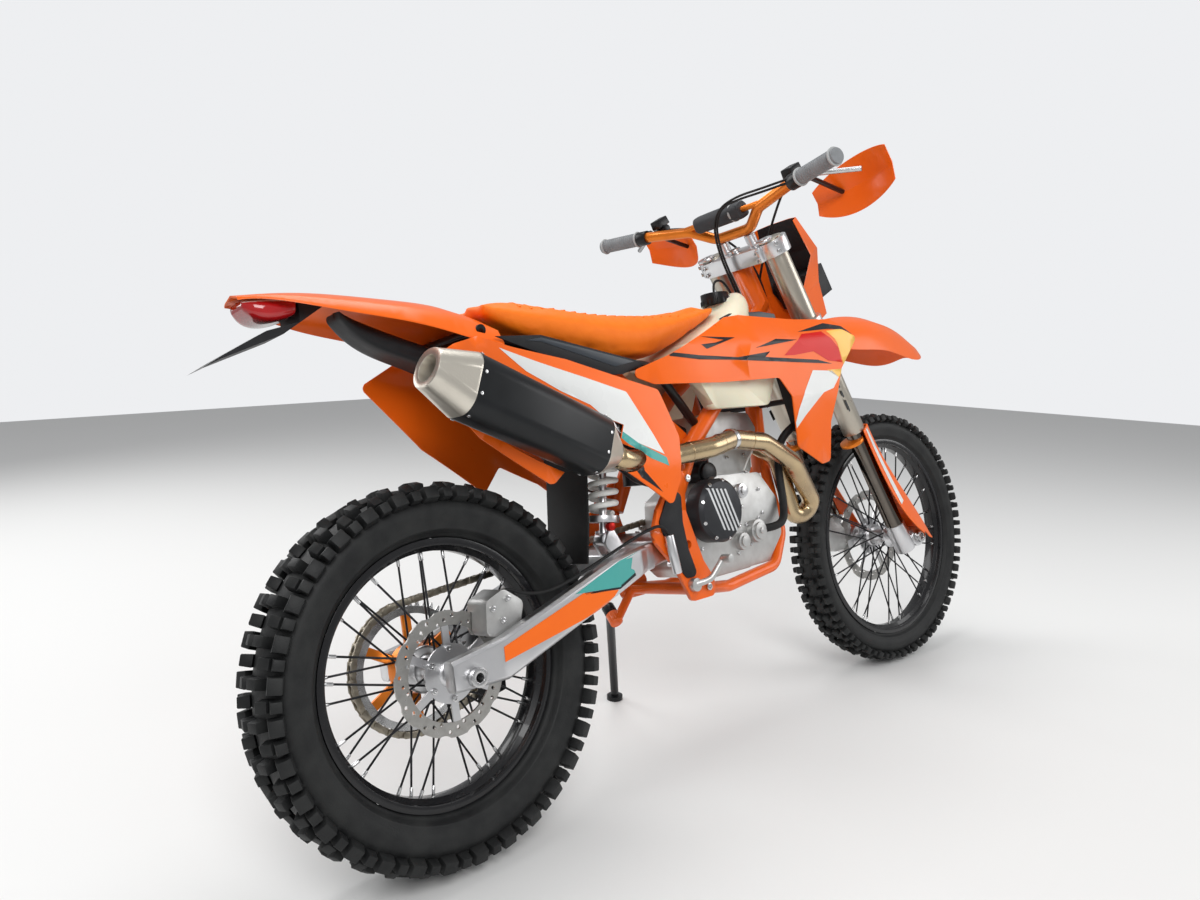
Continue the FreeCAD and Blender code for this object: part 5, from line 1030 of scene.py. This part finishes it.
# Seat. A moulded foam pad under a stretched, ribbed, orange cover that is stapled beneath its edge.
# Cords across its top make the grip ribs.
SEAT_VOXEL, SEAT_SHRINK, SEAT_MOVE = 6 * MILLIMETRE, 0.988, 8 * MILLIMETRE
PUFF_PRESSURE, PUFF_FRAMES, SMOOTHING, SMOOTH_PASSES = 4, 20, 0.5, 4
SEAT_RIBS, RIB_FROM, RIB_TO, RIB_HALF = 17, 255, 700, 62
RIB_STEPS, RIB_RADIUS, RIB_SUNK, SEAT_OVER = 4, 3.0, 0.6, 1200
seat_cover = finish("seat_cover", (0.90, 0.19, 0.006), (0.82, 0.15, 0.005), 0.5, 0.55, 0.15, 40, 0.35)


def puffed(name, node, voxel, shrink, cap, material):
    """A padded piece: a copy of the built form, filled under pressure and then smoothed."""
    piece = copied(name, node)
    worked(piece, "REMESH", mode="VOXEL", voxel_size=voxel)
    middle = sum((vertex.co for vertex in piece.data.vertices), Vector()) / len(piece.data.vertices)
    rest = []
    for vertex in piece.data.vertices:
        vertex.co = middle + (vertex.co - middle) * shrink
        rest.append(vertex.co.copy())
    alone(piece)
    cloth = piece.modifiers.new("cloth", "CLOTH")
    cloth.settings.use_pressure = True
    cloth.settings.uniform_pressure_force = PUFF_PRESSURE
    cloth.settings.effector_weights.gravity = 0
    for moment in range(1, PUFF_FRAMES + 1):
        bpy.context.scene.frame_set(moment)
    bpy.ops.object.modifier_apply(modifier=cloth.name)
    bpy.context.scene.frame_set(1)
    for vertex, start in zip(piece.data.vertices, rest):
        move = vertex.co - start
        if move.length > cap:
            vertex.co = start + move.normalized() * cap
    worked(piece, "SMOOTH", factor=SMOOTHING, iterations=SMOOTH_PASSES)
    worked(piece, "SUBSURF", levels=1, render_levels=1)
    return coated(smooth(piece, SOFT), material, frame["nodes"][node]["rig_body"], replaces=[node])


cushion = puffed("seat_cushion", "seat", SEAT_VOXEL, SEAT_SHRINK, SEAT_MOVE, seat_cover)
surface = linked("probe", cushion.data.copy())
surface.data.transform(BIKE.inverted())
bpy.context.view_layer.update()
ribs = []
for index in range(SEAT_RIBS):
    x = RIB_FROM + (RIB_TO - RIB_FROM) * index / (SEAT_RIBS - 1)
    route = []
    for step in range(-RIB_STEPS, RIB_STEPS + 1):
        above = Vector((x, RIB_HALF * step / RIB_STEPS, SEAT_OVER))
        hit, foot, normal, face = surface.ray_cast(above, Vector((0, 0, -1)))
        if hit:
            route.append(foot - normal * RIB_SUNK)
    ribs.append(hose("seat_rib", route, RIB_RADIUS, seat_cover))
bpy.data.objects.remove(surface)
joined(ribs, "seat_ribs")


# Tail. The orange rear fender carries a red lamp with a pale upper lens on a black plate holder.
LENS_DEPTH, LENS_UPWARD = 16, 0.35
lamp_red = finish("lamp_red", (0.42, 0.008, 0.01), (0.3, 0.004, 0.006), 0.3, 0.12, 0.05, 30, Coat_Weight=0.8)
lamp_pale = finish("lamp_pale", (0.75, 0.68, 0.66), (0.6, 0.5, 0.48), 0.3, 0.12, 0.05, 30, Coat_Weight=0.8)
dressed("rear_fender", orange_plastic)
tail = dressed("tail_light", lamp_red)
lens_foot = max((BIKE.inverted() @ vertex.co).z for vertex in tail.data.vertices) - LENS_DEPTH
divided(tail, BIKE, lamp_pale, lambda middle, normal: normal.z > LENS_UPWARD and middle.z > lens_foot)
dressed("plate_holder", dark_plastic)
dressed("foot_controls", cast_alloy, SMALL_EDGE)


# Rear brake. A black hose runs from the pump along the swingarm to the caliper, and the pump stands
# on the frame above its pedal.
BRAKE_HOSE, PUMP_BODY, PUMP_STAY = 3.2, (10, 82, 24, 1.5), (6, 18, 16, 0.8)
PUMP_FOOT, PUMP_STAYS = [((516, -127, 420), (-10, 0, 80))], [((512, -127, z), (0, 1, 0)) for z in (440, 480)]
REAR_BRAKE_ROUTE = ((507, -127, 498), (496, -127, 526), (450, -122, 520), (370, -122, 498), (270, -122, 468),
    (190, -120, 448), (140, -106, 452), (112, -92, 470), (98, -86, 462))
hose("rear_brake_hose", REAR_BRAKE_ROUTE, BRAKE_HOSE)
rounds("rear_pump", PUMP_BODY, PUMP_FOOT, machined_alloy)
rounds("pump_stays", PUMP_STAY, PUMP_STAYS, machined_alloy)


# Fork and clamps. Champagne outer tubes with printed black bands, an orange ring at their lip, dark
# chrome inner tubes and cast lugs. Forged clamps are pinched round the tubes by pairs of bolts.
FORK_SIDE, OUTER_TUBE, TUBE_FOOT, LUG_TOP = 100, 29.5, 347, 88
BANDS, BAND_SHARE, BAND_FROM, BAND_SWEEP = ((507, 525), (479, 496), (437, 468)), 1.012, 0.1, 2.2
BAND_COLUMNS, BAND_ROWS = 24, 2
PINCH_HEIGHTS = (673, 691, 896, 916)
PINCH_BOLTS = [((-26, side * 90, z), (-1, 0, 0)) for side in (-1, 1) for z in PINCH_HEIGHTS]
SIDE_BOLTS = [((0, side * 130, z), (0, side, 0)) for side in (-1, 1) for z in PINCH_HEIGHTS]
TUBE_TOPS = [((0, side * FORK_SIDE, 908), (0, 0, 1)) for side in (-1, 1)]
TUBE_LIPS = [((0, side * FORK_SIDE, TUBE_FOOT - 2), (0, 0, 1)) for side in (-1, 1)]
TUBE_RING, PINCH_BOLT, SIDE_BOLT = (31.1, 9, 40, 1.2), (5.5, 6), (5.5, 5)
TUBE_CAP, STEM_NUT, STEM_TOP = (24, 7), (17, 10), [((0, 0, 930), (0, 0, 1))]
GUARD_OUT, GUARD_MARK = 90, ((30, 130), (50, 130), (46, 365), (34, 365))
champagne = finish("champagne", (0.50, 0.46, 0.39), (0.42, 0.38, 0.33), 0.4, 0.3, 0.12, 30, Metallic=0.9)
dark_chrome = finish("dark_chrome", (0.16, 0.14, 0.12), (0.1, 0.09, 0.08), 0.4, 0.14, 0.08, 30, Metallic=1.0)


def wrap(name, side, low, high):
    """A printed band round part of an outer tube, from its outside towards its front."""
    radius = OUTER_TUBE * BAND_SHARE

    def place_of(u, v):
        angle = BAND_FROM + BAND_SWEEP * u
        return Vector((radius * math.sin(angle), side * (FORK_SIDE + radius * math.cos(angle)),
            low + (high - low) * v))

    return placed(mapped(name, BAND_COLUMNS, BAND_ROWS, place_of), FORK, black_film, "steering")


dressed("fork_outer_tubes", champagne, PLAIN_EDGE)
legs = dressed("fork_legs", dark_chrome, PLAIN_EDGE)
divided(legs, FORK, machined_alloy, lambda middle, normal: middle.z < LUG_TOP)
dressed("fork_guards", orange_plastic, FINE_EDGE)
dressed("triple_clamps", machined_alloy, CAST_EDGE)
for side, hand in SIDES:
    for index, (low, high) in enumerate(BANDS):
        wrap("tube_band_%s_%d" % (hand, index), side, low, high)
rounds("tube_rings", TUBE_RING, TUBE_LIPS, orange_alloy, "steering", FORK)
for name, spots, size in (("clamp_bolts", PINCH_BOLTS, PINCH_BOLT),
        ("clamp_side_bolts", SIDE_BOLTS, SIDE_BOLT)):
    bolted(name, spots, size, "triple_clamps", "steering", FORK)
bolted("tube_caps", TUBE_TOPS, TUBE_CAP, "fork_outer_tubes", "steering", FORK, machined_alloy)
bolted("stem_nut", STEM_TOP, STEM_NUT, "triple_clamps", "steering", FORK)
stuck("guard_mark", "fork_guards", GUARD_MARK, white_film, place=FORK, beyond=GUARD_OUT)


# Front fender, mask and lamp. Moulded orange plastic, with painted shade where the light doesn't reach: the
# mask's back faces are coloured dark and the fender's underside red-brown. The lamp is a clear lens before a
# bright bowl.
UNDERSIDE, BACK_SIDE, FRONT_SIDE = -0.55, -0.5, 0.5
shade_red = finish("shade_red", (0.13, 0.006, 0.006), roughness=0.6)
lens_glass = finish("lens_glass", (0.55, 0.58, 0.62), (0.35, 0.37, 0.40), 0.5, 0.08, 0.04, 20,
    Coat_Weight=1.0, Metallic=0.3)
fender = dressed("front_fender", orange_plastic, SMALL_EDGE)
# Painted shade: the fender's downward faces are coloured dark red instead of orange.
divided(fender, FORK, shade_red, lambda middle, normal: normal.z < UNDERSIDE)
mask = dressed("headlight_mask", orange_plastic, SMALL_EDGE)
# Painted shade: the mask's backward faces are coloured dark instead of orange.
divided(mask, FORK, dark_plastic, lambda middle, normal: normal.x < BACK_SIDE)
lamp_case = dressed("headlamp", dark_plastic, PLAIN_EDGE)
divided(lamp_case, FORK, lens_glass, lambda middle, normal: normal.x > FRONT_SIDE)
dressed("hand_guards", orange_plastic, SMALL_EDGE)


# Handlebar and its fittings. A tapered orange alloy bar in bolted risers, with grey rubber grips, a
# foam pad in a black cover, cast lever perches and bright levers.
LEVER_ROOT, LEVER_TIP = Vector((22, 264, 1044)), Vector((62, 385, 1005))
LEVER_FROM_SHARE, LEVER_REACH = 0.1, 10
BAR_ROOT, BAR_TIP = Vector((-10, 250, 1042)), Vector((-34, 400, 1064))
GRIP_RIB, GRIP_END, PAD_RING = (18.5, 3, 32, 0.8), (21.5, 5, 32, 1.2), (23.5, 7, 36, 1.5)
BARREL = (10, 46, 20, 1)
GRIP_RIBS, GRIP_ENDS, PAD_RING_PLACE = [4 + 7.4 * i for i in range(15)], (3, 119), ((4, -52, 1022), (0, 1, 0))
RESERVOIR, RESERVOIR_TAPER, RESERVOIR_BEVEL = (44, 30, 22), 0.94, 2
RESERVOIR_FOOT, BARREL_FOOT, CABLE = Vector((32, 232, 1050)), Vector((30, 256, 1042)), 2.8
PAD_VOXEL, PAD_SHRINK, PAD_MOVE = 4 * MILLIMETRE, 0.985, 5 * MILLIMETRE
FRONT_BRAKE_ROUTE = ((28, -236, 1042), (54, -176, 1024), (90, -116, 992), (110, -50, 940), (106, 10, 872),
    (86, 52, 800), (64, 72, 736), (62, 74, 640), (60, 76, 540), (52, 74, 430), (44, 70, 310), (28, 62, 232),
    (-14, 57, 192), (-46, 51, 158), (-56, 50, 112))
CLUTCH_ROUTE = ((28, 236, 1042), (52, 176, 1022), (80, 124, 984), (94, 74, 926), (88, 36, 852), (64, 22, 772),
    (38, 18, 702))
# The throttle cables lie side by side: over the bar they part upwards, and behind it to the side.
CABLE_OVER = ((-22, -262, 1050), (-38, -190, 1054), (-38, -110, 1058))
CABLE_DOWN = ((-42, -50, 1050), (-47, -16, 1010), (-50, -2, 950), (-48, 4, 880), (-46, 6, 806))
CABLE_PARTING = 4
grip_rubber = finish("grip_rubber", (0.24, 0.25, 0.26), (0.15, 0.155, 0.16), 0.5, 0.6, 0.15, 50, 0.3)
pad_cover = finish("pad_cover", (0.03, 0.032, 0.036), (0.05, 0.05, 0.055), 0.5, 0.55, 0.15, 60, 0.35)
pale_rubber = finish("pale_rubber", (0.42, 0.43, 0.43), (0.34, 0.35, 0.35), 0.4, 0.5, 0.1, 40, 0.1)


def on_lever(middle, normal):
    """Whether a face is on either lever's blade."""
    place = Vector((middle.x, abs(middle.y), middle.z))
    blade = LEVER_TIP - LEVER_ROOT
    share = (place - LEVER_ROOT).dot(blade) / blade.length_squared
    return share > LEVER_FROM_SHARE and (place - LEVER_ROOT.lerp(LEVER_TIP, share)).length < LEVER_REACH


dressed("handlebar", orange_alloy)
dressed("grips", grip_rubber, SMALL_EDGE)
controls = dressed("bar_controls", black_paint, PLAIN_EDGE)
divided(controls, FORK, bright_steel, on_lever)
for side, hand in SIDES:
    flip = Vector((1, side, 1))
    tip = BAR_TIP * flip
    way = (tip - BAR_ROOT * flip).normalized()
    for name, size, backs, material in (("grip_ribs_", GRIP_RIB, GRIP_RIBS, grip_rubber),
            ("grip_ends_", GRIP_END, GRIP_ENDS, pale_rubber)):
        rounds(name + hand, size, [(tip - way * back, way) for back in backs], material, "steering", FORK)
    lid = block(RESERVOIR, RESERVOIR_TAPER, RESERVOIR_BEVEL, 2)
    lid.data.transform(Matrix.Translation(RESERVOIR_FOOT * flip))
    barrel = cylinder(*BARREL)
    barrel.data.transform(aimed(BARREL_FOOT * flip, (0, -side, 0)))
    placed(joined([lid, barrel], "reservoir_" + hand), FORK, black_paint, "steering")
pad = puffed("pad_cushion", "bar_pad", PAD_VOXEL, PAD_SHRINK, PAD_MOVE, pad_cover)
rounds("pad_ring", PAD_RING, [PAD_RING_PLACE], pale_rubber, "steering", FORK)
hose("front_brake_hose", FRONT_BRAKE_ROUTE, BRAKE_HOSE, body="steering", place=FORK)
hose("clutch_hose", CLUTCH_ROUTE, BRAKE_HOSE, body="steering", place=FORK)
for index, part in enumerate((-CABLE_PARTING, CABLE_PARTING)):
    route = [(x, y, z + part) for x, y, z in CABLE_OVER] + [(x, y + part, z) for x, y, z in CABLE_DOWN]
    hose("throttle_cable_%d" % index, route, CABLE, body="steering", place=FORK)
